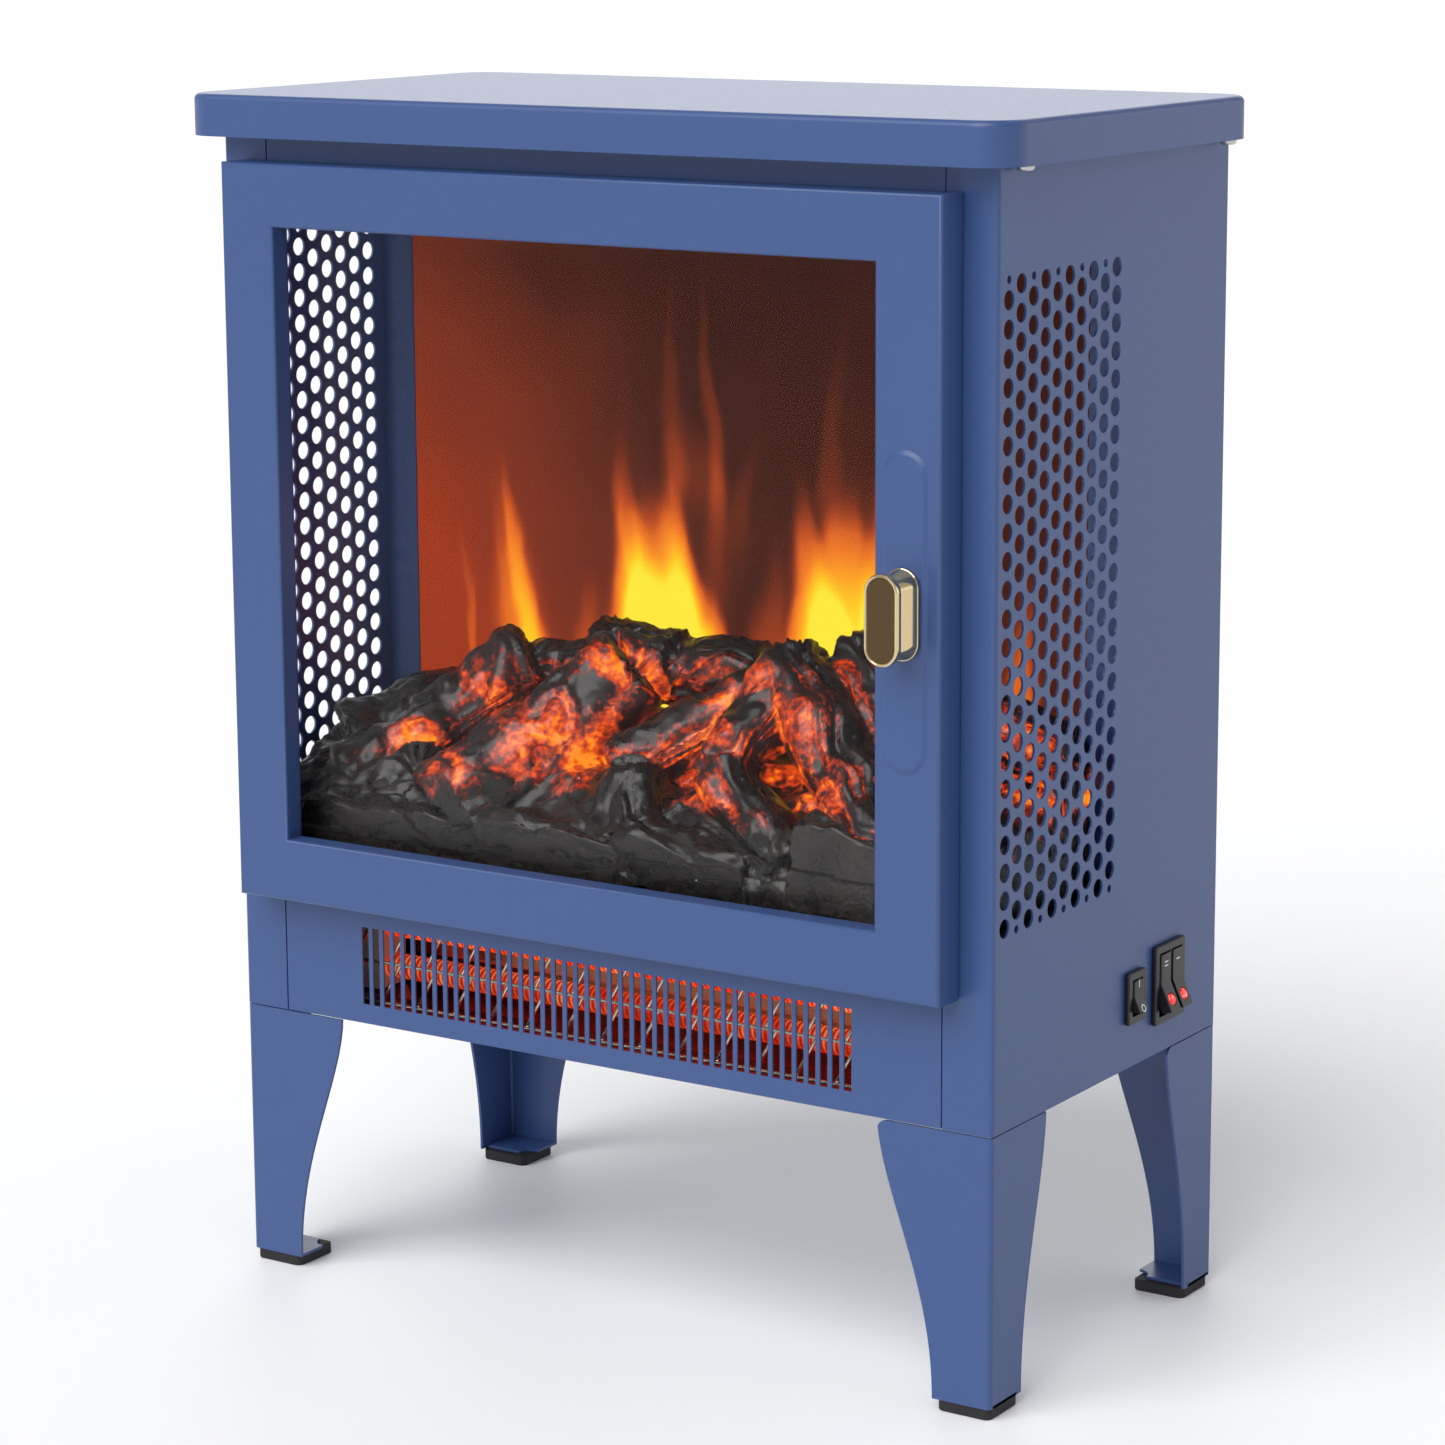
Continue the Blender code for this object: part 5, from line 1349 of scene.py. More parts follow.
@dataclass
class Door:
    """The glazed door: folded frame, embossed handle plate, pane and pull knob.

    Attributes:
        sheet: thickness of the steel.
        edge: radius of a folded edge.
        lip: depth of the return round the window.
        hinge_gap: room above and below each hinge tab.
        stile_left, stile_right, rail_top, rail_bottom: widths of the frame's four sides.
        emboss_w, emboss_h: size of the raised plate behind the knob.
    """

    sheet: float = 1.0 * MM
    edge: float = 1.4 * MM
    lip: float = 9 * MM
    hinge_gap: float = 2.8 * MM
    stile_left: float = 26 * MM
    stile_right: float = 28.5 * MM
    rail_top: float = 25.7 * MM
    rail_bottom: float = 26.3 * MM
    emboss_w: float = 16.4 * MM
    emboss_h: float = 119.7 * MM

    @staticmethod
    def window(low: Vector, high: Vector) -> tuple[float, float, float, float]:
        """Left, right, bottom and top of the window in the door's box."""
        return (low.x + Door.stile_left, high.x - Door.stile_right,
                low.z + Door.rail_bottom, high.z - Door.rail_top)

    def build(self) -> None:
        """Make the frame, then what it carries."""
        self.frame()
        self.pane()
        self.knob()

    def frame(self) -> None:
        """A box cut by the window, hollowed from behind, with soft folded edges."""
        low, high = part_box("door_frame")
        handle_low, handle_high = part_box("door_handle")
        centre = (handle_low + handle_high) / 2
        face = low.y + 1.0 * MM
        body = add_box("door_shell", (low.x, face, low.z), high)
        open_window(body, self.window(low, high))
        with editing(body):
            pick_faces(lambda mid, way: way.y > 0.9)
            bpy.ops.mesh.inset(thickness=self.sheet)
            extrude((0, face + self.sheet - high.y, 0))
        with editing(body, "EDGE"):
            pick_edges(lambda mid, run: abs(mid.y - face) < 0.1 * MM
                       and max(abs(run.x), abs(run.z)) > 0.999)
            bpy.ops.mesh.bevel(offset=self.edge, segments=5, affect="EDGES")
        left, right, bottom, top = self.window(low, high)
        behind = self.sheet + 0.4 * MM
        tool = add_box("short_return", (left - behind, face + self.lip, bottom - behind),
                       (right + behind, high.y + MM, top + behind))
        combine(body, tool, Cut.TAKE)
        emboss = self.emboss(centre.x, centre.z, face)
        combine(body, emboss, Cut.ADD)
        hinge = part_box("hinge_bracket_upper"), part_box("hinge_bracket_lower")
        for tab_low, tab_high in hinge:
            upper = tab_high.z > (low.z + high.z) / 2
            z = tab_high.z if upper else tab_low.z
            z0, z1 = ((z - self.hinge_gap, high.z - self.sheet) if upper
                      else (low.z + self.sheet, z + self.hinge_gap))
            tool = add_box("notch", (low.x - MM, face + self.sheet, z0),
                           (low.x + 1.2 * MM, high.y + MM, z1))
            combine(body, tool, Cut.TAKE)
        place(body, BLUE_STEEL, DOOR, ["door_frame"], 40)

    def emboss(self, x: float, z: float, face: float) -> bpy.types.Object:
        """The raised plate behind the knob: an upright pressing with sloping, rounded sides.

        Args:
            x: place across of the plate's middle.
            z: its height.
            face: place of the door's front face.

        Returns:
            The plate, ready to be joined on.
        """
        rings = []
        for out, inset in ((0.6, -1.8), (0.0, -1.7), (-0.1, -1.3), (-0.45, -0.7), (-0.8, -0.2),
                           (-0.95, 0.3), (-0.98, 0.9)):
            rings.append([(x + a, face + out * MM, z + b)
                          for a, b in stadium(self.emboss_w, self.emboss_h, inset * MM)])
        return ring_stack("emboss", rings)

    def pane(self) -> None:
        """The glass, with polished round edges."""
        low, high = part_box("door_glass")
        pane = add_box("door_pane", low, high)
        with editing(pane, "EDGE"):
            pick_edges(lambda mid, run: abs(run.y) > 0.9)
            bpy.ops.mesh.bevel(offset=2 * MM, segments=4, affect="EDGES")
        round_edges(pane, 0.5 * MM, 2, 60)
        place(pane, GLASS, DOOR, ["door_glass"])

    def knob(self) -> None:
        """The gilt pull: a deep block, a groove, and a front plate with a dark face let into it."""
        low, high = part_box("door_handle")
        body = self.knob_rings(low, high, (
            (0.0, 0.4), (0.3, 0.0), (1.3, 0.0), (1.5, 0.3), (11.4, 2.5), (11.8, 2.7), (12.1, 3.1),
            (12.9, 3.1), (13.1, 0.8), (13.4, 0.1), (13.7, 0.0), (15.8, 0.0), (16.3, 0.12),
            (16.6, 0.4), (16.65, 0.85), (16.45, 1.05), (16.3, 1.1)))
        place(ring_stack("door_knob", body), GILT, DOOR, ["door_handle"], 24)
        face = self.knob_rings(low, high, ((15.6, 1.2), (16.3, 1.2), (16.5, 1.35), (16.58, 1.8)))
        place(ring_stack("door_knob_face", face), DARK_GILT, DOOR, degrees=24)

    def knob_rings(self, low: Vector, high: Vector,
                   profile: Sequence[tuple[float, float]]) -> list[list[tuple]]:
        """Upright outlines at each (out, inset) of a profile, in millimetres from the door.

        Args:
            low: lowest corner of the handle's node.
            high: its highest corner.
            profile: how far out, and how far inside the full outline, each ring is.

        Returns:
            One row of points for each ring.
        """
        x, z = (low.x + high.x) / 2, (low.z + high.z) / 2
        width, height = high.x - low.x, high.z - low.z
        return [[(x + a, high.y - out * MM, z + b)
                 for a, b in stadium(width, height, inset * MM, 20)] for out, inset in profile]


# ---------------------------------------------------------------- fire

@dataclass(frozen=True)
class Log:
    """One log of the bed, in millimetres from the middle of the chamber floor's front edge.

    Attributes:
        start, end: middle of each end (x, back, up).
        radius: radius at the start and at the end.
        ember: how strongly it glows.
        ash: how much grey, barky ash it has.
    """

    start: tuple[float, float, float]
    end: tuple[float, float, float]
    radius: tuple[float, float]
    ember: float
    ash: float = 0.0


BED_LOGS = (
    Log((-158, 50, 34), (-128, 84, 48), (19, 15), 0.0, 0.9),
    Log((-168, 26, 6), (-118, 40, 26), (20, 16), 0.0, 0.7),
    Log((-142, 32, 22), (-88, 76, 68), (17, 17), 0.72, 0.35),
    Log((-86, 24, 16), (-36, 74, 70), (23, 20), 0.95, 0.15),
    Log((-110, 88, 62), (20, 90, 76), (12, 13), 0.5),
    Log((-50, 86, 76), (-20, 86, 78), (15, 14), 0.55),
    Log((-12, 42, 40), (44, 80, 78), (14, 12), 0.8),
    Log((-6, 34, 34), (0, 24, 18), (15, 14), 0.35),
    Log((50, 70, 82), (118, 24, 28), (15, 15), 0.85),
    Log((52, 70, 84), (38, 38, 46), (13, 13), 0.75),
    Log((38, 38, 46), (78, 18, 18), (13, 10), 0.6),
    Log((72, 84, 84), (112, 62, 62), (16, 15), 0.8),
    Log((112, 76, 74), (166, 84, 56), (17, 14), 0.6),
    Log((92, 20, 18), (136, 18, 14), (19, 19), 0.0, 1.0),
    Log((130, 50, 40), (168, 40, 18), (18, 15), 0.5, 0.3),
    Log((8, 20, 14), (60, 14, 8), (13, 11), 0.25),
    Log((-64, 16, 8), (0, 14, 8), (12, 11), 0.05, 0.2),
    Log((-150, 16, 6), (-70, 14, 6), (12, 11), 0.0, 0.2),
)


@dataclass
class FireBed:
    """The moulded bed of logs: rods and an ash slope melted into one skin, then weathered.

    Attributes:
        voxel: size of the melt's grid.
        bark: depth of the bark's ridges.
        lumps: depth of the broad knots.
        knot: size of a knot.
        grain: how far a ridge of bark runs.
        rubble: size of the bank's coarse crumbs.
        crumb: size of the fine ones.
        hill: size of the bank's slow rises.
        glow_from, glow_over: height at which the light begins, and over which it grows.
    """

    voxel: float = 1.7 * MM
    bark: float = 1.9 * MM
    lumps: float = 2.4 * MM
    knot: float = 21 * MM
    grain: float = 36 * MM
    rubble: float = 10 * MM
    crumb: float = 4.5 * MM
    hill: float = 34 * MM
    glow_from: float = 20 * MM
    glow_over: float = 16 * MM

    def build(self) -> None:
        """Model, melt, weather and dress the bed."""
        self.low, self.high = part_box("log_bed")
        self.origin = Vector((0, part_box("front_panel")[0].y, self.low.z))
        rough = join("log_bed_casting", [self.slope(), *(self.rod(one) for one in BED_LOGS)])
        apply_modifier(rough, "REMESH", mode="VOXEL", voxel_size=self.voxel)
        apply_modifier(rough, "SMOOTH", factor=0.5, iterations=3)
        self.weather(rough)
        apply_modifier(rough, "SMOOTH", factor=0.4, iterations=1)
        place(rough, LOGS, stands_for=["log_bed"], degrees=180)

    def at(self, spot: Sequence[float]) -> Vector:
        """A place in the bed's own millimetres, as a place in the frame."""
        return self.origin + Vector(spot) * MM

    def slope(self) -> bpy.types.Object:
        """The ash bank under the logs: a lumpy slope that climbs from the front edge to the back.

        Returns:
            The bank, ready to be melted in.
        """
        block = add_box("ash_bank", self.low, self.high)
        with editing(block):
            bpy.ops.mesh.select_all(action="SELECT")
            bpy.ops.mesh.subdivide(number_cuts=27)
        depth = self.high.y - self.low.y
        for vert in block.data.vertices:
            back = (vert.co.y - self.low.y) / depth
            lump = noise.fractal(Vector((vert.co.x, vert.co.y, 0)) / self.hill, 0.8, 2.0, 2)
            top = 3 + 20 * min(1.0, back * 4) ** 0.7 + 30 * back + 9 * lump * min(1.0, 5 * back)
            share = (vert.co.z - self.low.z) / (self.high.z - self.low.z)
            vert.co.z = self.low.z + share * max(2.5, top) * MM
        return block

    def rod(self, one: Log) -> bpy.types.Object:
        """One log: a tapered rod with a crooked middle.

        Args:
            one: its ends, radii and wear.

        Returns:
            The rod, ready to be melted in.
        """
        start, end = self.at(one.start), self.at(one.end)
        run = end - start
        deselect_all()
        bpy.ops.mesh.primitive_cone_add(vertices=20, radius1=one.radius[0] * MM,
                                        radius2=one.radius[1] * MM, depth=run.length + 8 * MM)
        log = settle("log")
        with editing(log):
            for level in range(1, 7):
                bpy.ops.mesh.select_all(action="SELECT")
                height = (level / 7 - 0.5) * run.length
                bpy.ops.mesh.bisect(plane_co=(0, 0, height), plane_no=(0, 0, 1))
        for vert in log.data.vertices:
            seed = Vector((one.start[0], one.end[1], vert.co.z / MM / 26))
            vert.co.x += noise.noise(seed) * 6 * MM
            vert.co.y += noise.noise(seed + Vector((9, 4, 0))) * 6 * MM
        turn = Vector((0, 0, 1)).rotation_difference(run.normalized()).to_matrix().to_4x4()
        log.data.transform(Matrix.Translation((start + end) / 2) @ turn)
        return log

    def nearest(self, spot: Vector) -> tuple[Log, float, float, Vector]:
        """The log nearest a place, how far off its axis, how far along it, and the way out.

        Args:
            spot: a place on the skin.

        Returns:
            The log, the gap to its bark, the distance along it and the way out from
            its axis.
        """
        best = None
        for one in BED_LOGS:
            start, end = self.at(one.start), self.at(one.end)
            run = end - start
            t = max(0.0, min(1.0, (spot - start).dot(run) / run.length_squared))
            radius = (one.radius[0] + (one.radius[1] - one.radius[0]) * t) * MM
            off = spot - (start + run * t)
            gap = off.length - radius
            if best is None or gap < best[1]:
                best = (one, gap, t * run.length, off)
        return best

    def weather(self, skin: bpy.types.Object) -> None:
        """Push bark, knots and ash into the skin, and record where it glows and where it is grey.

        Args:
            skin: the melted bed.
        """
        mesh = skin.data
        ember = mesh.attributes.new("ember", "FLOAT", "POINT")
        ash = mesh.attributes.new("ash", "FLOAT", "POINT")
        flow = mesh.attributes.new("flow", "FLOAT_VECTOR", "POINT")
        inner_low = self.low + Vector((0.5, 0.5, 0)) * MM
        inner_high = self.high + Vector((-0.5, -0.5, 8)) * MM
        moved = []
        for vert in mesh.vertices:
            spot = vert.co.copy()
            one, gap, along, off = self.nearest(spot)
            on_log = max(0.0, min(1.0, 1 - gap / (4 * MM)))
            spin = math.atan2(off.z, off.x + off.y)
            knots = noise.fractal(spot / self.knot, 0.9, 2.0, 2)
            twist = spin * 2.6 + knots * 1.2
            grain = Vector((along / self.grain, twist, one.start[0]))
            ridge = 1 - abs(noise.noise(grain)) * 3.2
            fine = 1 - abs(noise.noise(grain * 2.3 + Vector((3, 1, 7)))) * 3
            push = on_log * (ridge + 0.16 * fine) * self.bark + knots * self.lumps
            push += (1 - on_log) * noise.fractal(spot / self.rubble, 0.9, 2.0, 2) * 1.4 * MM
            crumbs = noise.fractal(spot / self.crumb, 0.9, 2.1, 3)
            push += crumbs * (0.2 + 1.1 * one.ash * on_log) * MM
            moved.append(spot + vert.normal * push)
            flow.data[vert.index].vector = (along, twist * 8 * MM, one.start[0] * MM)
            self.record(ember, ash, vert, spot, one, on_log, knots)
        for vert, spot in zip(mesh.vertices, moved):
            vert.co = [min(max(spot[i], inner_low[i]), inner_high[i]) for i in range(3)]
        mesh.update()

    def record(self, ember: bpy.types.Attribute, ash: bpy.types.Attribute,
               vert: bpy.types.MeshVertex, spot: Vector, one: Log, on_log: float,
               knots: float) -> None:
        """Store how strongly a point glows and how grey it is.

        Args:
            ember: the attribute for light.
            ash: the attribute for grey.
            vert: the point.
            spot: where it was before it moved.
            one: the log nearest to it.
            on_log: 1 on a log, 0 on the bank.
            knots: the broad noise there.
        """
        up = spot.z - self.low.z
        faces_front = max(0.0, -vert.normal.y * 0.8 + 0.25 - 0.3 * vert.normal.z)
        under = max(0.0, min(1.0, (up - self.glow_from) / self.glow_over))
        crown = max(0.0, vert.normal.z - 0.45)
        heat = one.ember * (0.42 + 0.62 * faces_front) - 0.55 * crown + 0.25 * knots
        valley = (1 - on_log) * 0.6 * under if one.ember > 0.3 else 0.0
        ember.data[vert.index].value = max(0.0, under * heat + valley)
        ash.data[vert.index].value = max(0.0, min(1.0, one.ash * on_log + 0.5 * crown
                                                  + (0.18 if up < 24 * MM else 0.0)))


@dataclass
class FlameBox:
    """What stands behind the logs: the lit screen, in its blue frame over the chamber floor; frame
    and floor are dressed with the other kept nodes.
    """

    def build(self) -> None:
        """Make the lit screen; the frame's own sheets are dressed with the other kept nodes."""
        low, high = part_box("flame_screen")
        screen = add_box("flame_screen_sheet", low, high)
        with editing(screen, "EDGE"):
            pick_edges(lambda mid, run: abs(run.y) > 0.9)
            bpy.ops.mesh.bevel(offset=3 * MM, segments=4, affect="EDGES")
        round_edges(screen, 0.4 * MM, 2, 60)
        place(screen, FLAMES, stands_for=["flame_screen"])


# ---------------------------------------------------------------- heater

@dataclass
class Heater:
    """The heater bay behind the slots: two hot quartz tubes and the bent wire guard.

    Attributes:
        wire: diameter of the guard's wire.
        bays: how many slanted wires stand in a row.
        rim, step: widths of the two rings of a tube's pinched end.
        pinch: how far that end is pushed in.
    """

    wire: float = 1.5 * MM
    bays: int = 15
    rim: float = 1.6 * MM
    step: float = 1.2 * MM
    pinch: float = 2 * MM

    def build(self) -> None:
        """Make the tubes and the guard."""
        self.tube("quartz_tube_upper", HOT_UPPER)
        self.tube("quartz_tube_lower", HOT_LOWER)
        self.guard()

    def tube(self, node: str, finish: Finish) -> None:
        """A tube with pinched, rounded ends.

        Args:
            node: the frame's tube.
            finish: how hot it looks.
        """
        low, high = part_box(node)
        middle = (low + high) / 2
        rod = add_rod(f"{node}_lit", Axis.X, middle, (high.z - low.z) / 2, high.x - low.x, 28)
        with editing(rod):
            for side in (-1, 1):
                pick_faces(lambda mid, way, side=side: way.x * side > 0.9)
                bpy.ops.mesh.inset(thickness=self.rim)
                bpy.ops.mesh.inset(thickness=self.step)
                extrude((-side * self.pinch, 0, 0))
        round_edges(rod, 0.6 * MM, 3, 50)
        place(rod, finish, stands_for=[node])

    def guard(self) -> None:
        """Three rails with slanted wires welded between them."""
        low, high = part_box("wire_guard")
        y = (low.y + high.y) / 2
        middle = (low.z + high.z) / 2
        wires = []
        for z in (low.z + 2 * MM, middle, high.z - 2 * MM):
            wires.append(add_rod("rail", Axis.X, (0, y, z), self.wire / 2, high.x - low.x, 10))
        step = (high.x - low.x) / self.bays
        half = (high.z - low.z) / 2 - 2 * MM
        for row, (z0, lean) in enumerate(((low.z + 2 * MM, 1), (middle, 1))):
            for i in range(self.bays):
                x = low.x + step * (i + 0.5 + 0.25 * row)
                wires.append(self.slant(x, y + 0.6 * self.wire, z0, half, lean * step * 0.55))
        place(join("wire_guard_bars", wires), BRIGHT_WIRE, stands_for=["wire_guard"])

    def slant(self, x: float, y: float, z: float, height: float, lean: float) -> bpy.types.Object:
        """One slanted wire, leaning along X.

        Args:
            x: place across of the wire's middle.
            y: its depth.
            z: height of its foot.
            height: how far up it reaches.
            lean: how far across it runs on the way.

        Returns:
            The wire.
        """
        rod = add_rod("wire", Axis.Z, (0, 0, 0), self.wire / 2, math.hypot(height, lean), 8)
        take(rod)
        bpy.ops.transform.rotate(value=-math.atan2(lean, height), orient_axis="Y",
                                 center_override=(0, 0, 0))
        bpy.ops.transform.translate(value=(x, y, z + height / 2))
        return settle("wire")


# ---------------------------------------------------------------- switches

@dataclass
class Switches:
    """The two snap-in rocker switches on the right side panel.

    Attributes:
        rim: width of a bezel's frame.
        skin: wall between a bezel and its rocker's pocket.
        tilt: half the angle through which a rocker tips.
        face: how far a rocker's valley stands off its axis.
        pocket: depth of the hollow behind a rocker.
        axle: height of the rockers' pivots.
    """

    rim: float = 2.2 * MM
    skin: float = MM
    tilt: float = math.radians(12)
    face: float = 2.9 * MM
    pocket: float = 11 * MM
    axle: float = 143.5 * MM

    def build(self) -> None:
        """Make bezels, rockers, lenses and the generic on and off marks."""
        for name in ("power", "heat"):
            self.bezel(f"{name}_switch_body")
        self.rocker("power_rocker", "power_switch")
        self.rocker("heat_rocker_low", "low_heat_switch")
        self.rocker("heat_rocker_high", "high_heat_switch")
        self.lens("low", "low_heat_switch")
        self.lens("high", "high_heat_switch")
        self.marks()

    def bezel(self, node: str) -> None:
        """A frame with round corners and a sloping lip, and its housing behind the panel.

        Args:
            node: the frame's switch body.
        """
        low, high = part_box(node)
        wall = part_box("right_side_panel")[1].x + 0.3 * MM
        plate = add_box(f"{node}_moulding", (wall, low.y, low.z), high)
        with editing(plate, "EDGE"):
            pick_edges(lambda mid, run: abs(run.x) > 0.9)
            bpy.ops.mesh.bevel(offset=1.3 * MM, segments=4, affect="EDGES")
            pick_edges(lambda mid, run: abs(mid.x - high.x) < 0.1 * MM and abs(run.x) < 0.1)
            bpy.ops.mesh.bevel(offset=0.7 * MM, segments=3, affect="EDGES")
        rim, skin = self.rim, self.skin
        core = add_box("housing", (low.x, low.y + rim, low.z + rim),
                       (wall + 0.5 * MM, high.y - rim, high.z - rim))
        combine(plate, core, Cut.ADD)
        count = 2 if node.startswith("heat") else 1
        width = high.y - low.y - 2 * rim - 2 * skin
        for number in range(count):
            start = low.y + rim + skin + number * (width + skin) / count
            stop = start + (width - (count - 1) * skin) / count
            tool = add_box("pocket", (wall - self.pocket, start, low.z + rim + skin),
                           (high.x + MM, stop, high.z - rim - skin))
            combine(plate, tool, Cut.TAKE)
        round_edges(plate, 0.2 * MM, 2, 60)
        place(plate, ABS, stands_for=[node])

    def rocker(self, node: str, body: str) -> None:
        """A rocker with a hollowed, two-way face: the frame's solid, softened at its edges.

        Args:
            node: the frame's rocker.
            body: the body that it tips with.
        """
        source = frame["nodes"][node]
        piece = source.copy()
        piece.data = source.data.copy()
        piece.parent = None
        bpy.context.scene.collection.objects.link(piece)
        piece.name = f"{node}_moulding"
        with editing(piece, "VERT"):
            bpy.ops.mesh.select_all(action="SELECT")
            bpy.ops.mesh.remove_doubles(threshold=0.01 * MM)
            bpy.ops.mesh.dissolve_limited(angle_limit=math.radians(1))
        round_edges(piece, 0.45 * MM, 3, 20)
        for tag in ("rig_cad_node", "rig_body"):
            piece.pop(tag, None)
        place(piece, ABS, body, [node])

    def lens(self, label: str, body: str) -> None:
        """A small domed lens, lit from inside.

        Args:
            label: low or high, for the heat it shows.
            body: the rocker's body.
        """
        node = f"lamp_lens_{label}"
        low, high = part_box(node)
        middle = (low + high) / 2
        dome = add_rod(f"{node}_dome", Axis.X, (0, 0, 0), 2.3 * MM, 1.6 * MM, 24)
        with editing(dome, "EDGE"):
            pick_edges(lambda mid, run: mid.x > 0.5 * MM)
            bpy.ops.mesh.bevel(offset=0.9 * MM, segments=4, affect="EDGES")
        turn = Matrix.Rotation(-2 * self.tilt, 4, "Y")
        dome.data.transform(Matrix.Translation(middle + Vector((0.2 * MM, 0, 0))) @ turn)
        place(dome, RED_LENS, body, [node])

    def marks(self) -> None:
        """Generic marks on the rockers: a bar above and a ring below, and plain bars."""
        low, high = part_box("power_rocker")
        y = (low.y + high.y) / 2
        self.bar("power_on_mark", "power_switch", y, 5.0, 0.45, 3.4)
        self.ring("power_off_mark", "power_switch", y, -5.2)
        for label, body, rows in (("low", "low_heat_switch", (8.6, 7.0)),
                                  ("high", "high_heat_switch", (7.8,))):
            low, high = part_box(f"heat_rocker_{label}")
            y = (low.y + high.y) / 2
            for number, up in enumerate(rows, 1):
                self.bar(f"{label}_heat_mark_{number}", body, y, up, 3.0, 0.5)

    def seat(self, y: float, up: float) -> Matrix:
        """Where a mark lies on a rocker's face, up millimetres above its axis.

        Args:
            y: depth of the rocker's middle.
            up: millimetres above its axis.

        Returns:
            A turn and a shift from the origin.
        """
        axis = Vector((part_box("right_side_panel")[1].x, y, self.axle))
        slope = self.tilt if up < 0 else -self.tilt
        out = self.face + abs(up) * MM * math.tan(self.tilt) + 0.03 * MM
        pressed = Matrix.Rotation(-self.tilt, 4, "Y")
        lean = Matrix.Rotation(-slope, 4, "Y")
        return Matrix.Translation(axis) @ pressed @ Matrix.Translation((out, 0, up * MM)) @ lean

    def bar(self, name: str, body: str, y: float, up: float, wide: float, tall: float) -> None:
        """A flat printed bar.

        Args:
            name: the mark's name.
            body: the rocker's body.
            y: depth of the rocker's middle.
            up: millimetres above its axis.
            wide: width, millimetres.
            tall: height, millimetres.
        """
        half_w, half_h = wide * MM / 2, tall * MM / 2
        mark = add_box(name, (-0.05 * MM, -half_w, -half_h), (0.05 * MM, half_w, half_h))
        with editing(mark, "EDGE"):
            pick_edges(lambda mid, run: abs(run.x) > 0.9)
            bpy.ops.mesh.bevel(offset=0.15 * MM, segments=3, affect="EDGES")
        mark.data.transform(self.seat(y, up))
        place(mark, WHITE_INK, body)

    def ring(self, name: str, body: str, y: float, up: float) -> None:
        """A flat printed ring.

        Args:
            name: the mark's name.
            body: the rocker's body.
            y: depth of the rocker's middle.
            up: millimetres above its axis.
        """
        mark = add_rod(name, Axis.X, (0, 0, 0), 1.6 * MM, 0.1 * MM, 28)
        tool = add_rod("hole", Axis.X, (0, 0, 0), 1.15 * MM, 1 * MM, 28)
        combine(mark, tool, Cut.TAKE)
        mark.data.transform(self.seat(y, up))
        place(mark, WHITE_INK, body)


# ---------------------------------------------------------------- inside and behind

KEPT_NODES = {
    BLUE_STEEL: ("base_plate", "top_plate", "screen_frame"),
    DARK_STEEL: ("chamber_floor",),
    ZINC: ("hinge_bracket_upper", "hinge_bracket_lower", "hinge_pin_upper", "hinge_pin_lower",
           "glass_retainer_upper", "glass_retainer_lower", "handle_screw", "strike_plate",
           "flame_spindle", "flame_motor", "blower_motor", "blower_housing"),
    PRESSED_STEEL: ("blower_impeller",),
    COPPER_MIRROR: ("heat_reflector",),
    CERAMIC: ("tube_holder_left", "tube_holder_right", "thermal_cutout"),
    ABS: ("magnet_catch", "spindle_bearing", "tilt_switch", "cord_gland"),
    BOARD: ("control_board", "ember_light_board", "flame_light_board"),
}


def dress_kept_nodes() -> None:
    """Give each frame node that stays its full finish."""
    for finish, names in KEPT_NODES.items():
        for name in names:
            node = frame["nodes"][name]
            node.data.materials.clear()
            node.data.materials.append(finish.material())
            LOG.info("%s: dressed", name)


# ---------------------------------------------------------------- studio

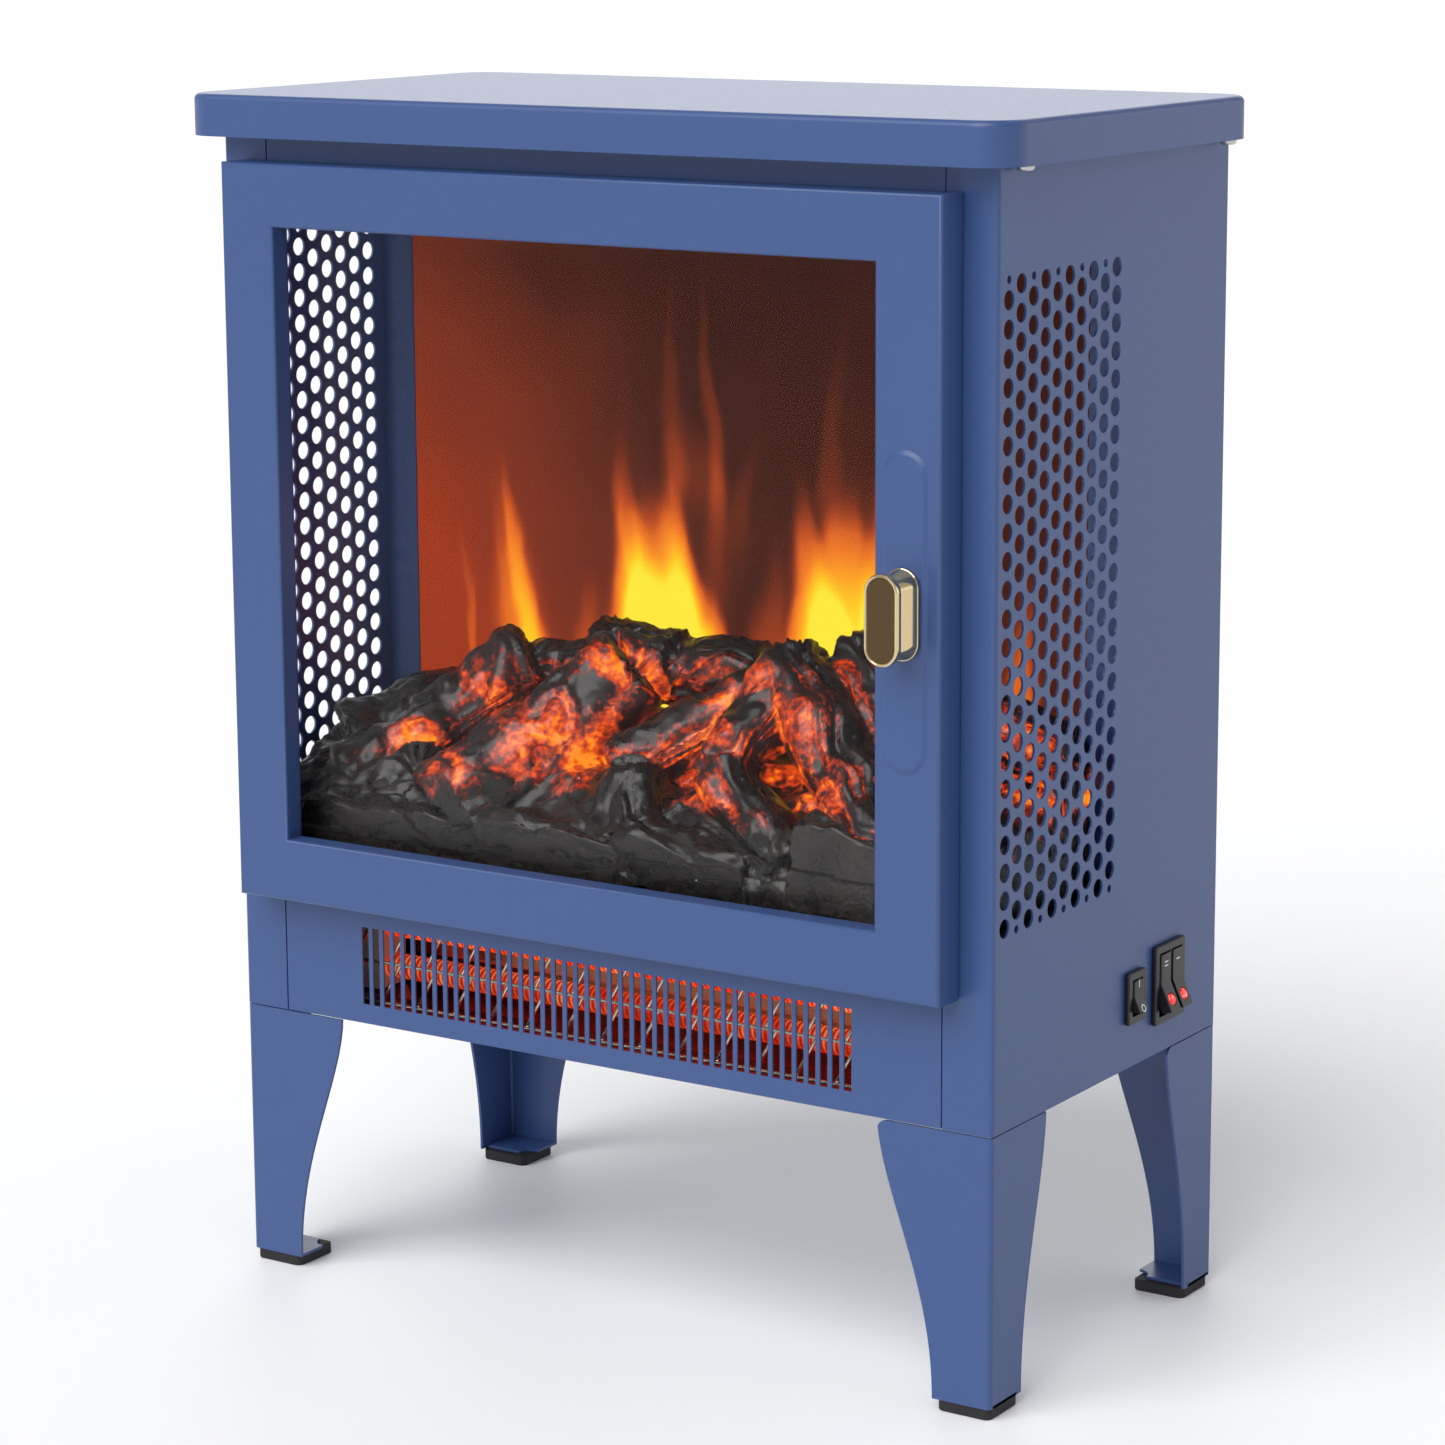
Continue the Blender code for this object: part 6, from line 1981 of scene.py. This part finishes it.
@dataclass
class Studio:
    """Floor, soft light and camera.

    Attributes:
        azimuth, elevation, roll: the camera's view, in degrees; azimuth 0 looks along +Y.
        position: where the camera stands.
        lens: focal length for a 36 mm frame.
        shift: sideways and upward shift, as a share of the frame's width.
    """

    azimuth: float = 32.69
    elevation: float = 10.92
    roll: float = -0.2
    position: tuple[float, float, float] = (0.929, -1.4045, 0.5919)
    lens: float = 103.43
    shift: tuple[float, float] = (-0.0277, -0.0415)

    def build(self) -> None:
        """Set the stage."""
        self.floor()
        self.light()
        self.camera()

    def floor(self) -> None:
        """A wide seamless floor."""
        half = 40.0
        floor = add_sheet("floor", [(-half, -half, 0), (half, -half, 0), (half, half, 0),
                                    (-half, half, 0)])
        floor.data.materials.append(FLOOR.material())

    def light(self) -> None:
        """A soft key from above the front left, a low pale light behind, and an even surround."""
        scene = bpy.context.scene
        scene.view_settings.view_transform = "Standard"
        world = bpy.data.worlds.new("surround")
        scene.world = world
        world.use_nodes = True
        back = world.node_tree.nodes["Background"]
        back.inputs["Color"].default_value = (0.97, 0.98, 1.0, 1)
        back.inputs["Strength"].default_value = 0.5
        self.lamp("key", 2.7, 56, Vector((-0.10, -0.70, 0.71)) * 5)
        self.lamp("rim", 0.6, 44, Vector((-0.53, 0.83, 0.26)) * 5)
        self.lamp("side", 0.36, 44, Vector((0.60, 0.80, 0.10)) * 5)

    def lamp(self, name: str, power: float, spread: float, spot: Vector) -> None:
        """Hang a wide sun that points at the stove.

        Args:
            name: the sun's name.
            power: its strength.
            spread: its width in the sky, degrees.
            spot: where it hangs; only its direction matters.
        """
        light = bpy.data.lights.new(name, "SUN")
        light.energy = power
        light.angle = math.radians(spread)
        self.hang(light, spot)

    def hang(self, lamp: bpy.types.Light, spot: Vector) -> None:
        """Place a lamp so that it points at the stove.

        Args:
            lamp: the light.
            spot: where it hangs.
        """
        holder = bpy.data.objects.new(lamp.name, lamp)
        bpy.context.scene.collection.objects.link(holder)
        holder.location = spot
        aim = Vector((0, 0, 0.25)) - spot
        holder.rotation_euler = aim.to_track_quat("-Z", "Y").to_euler()

    def camera(self) -> None:
        """A long lens at eye height to the right of the door."""
        lens = bpy.data.cameras.new("camera")
        lens.lens = self.lens
        lens.sensor_width = 36
        lens.shift_x, lens.shift_y = self.shift
        lens.clip_end = 200
        holder = bpy.data.objects.new("camera", lens)
        bpy.context.scene.collection.objects.link(holder)
        a, e = math.radians(self.azimuth), math.radians(self.elevation)
        back = Vector((math.sin(a) * math.cos(e), -math.cos(a) * math.cos(e), math.sin(e)))
        right = Vector((math.cos(a), math.sin(a), 0))
        turn = Matrix((right, back.cross(right), back)).transposed().to_4x4()
        holder.matrix_world = (Matrix.Translation(self.position) @ turn
                               @ Matrix.Rotation(math.radians(self.roll), 4, "Z"))
        bpy.context.scene.camera = holder


def main() -> None:
    """Build the stove's looks round the frame, in order from the shell inwards."""
    logging.basicConfig(level=logging.INFO, format="%(message)s")
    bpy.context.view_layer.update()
    Studio().build()
    Cabinet().build()
    Lid().build()
    for name, side, front in (("leg_front_left", -1, 1), ("leg_front_right", 1, 1),
                              ("leg_back_left", -1, -1), ("leg_back_right", 1, -1)):
        Leg(name, side, front).build()
    Door().build()
    FlameBox().build()
    FireBed().build()
    Heater().build()
    Switches().build()
    dress_kept_nodes()


if __name__ == "__main__":
    main()
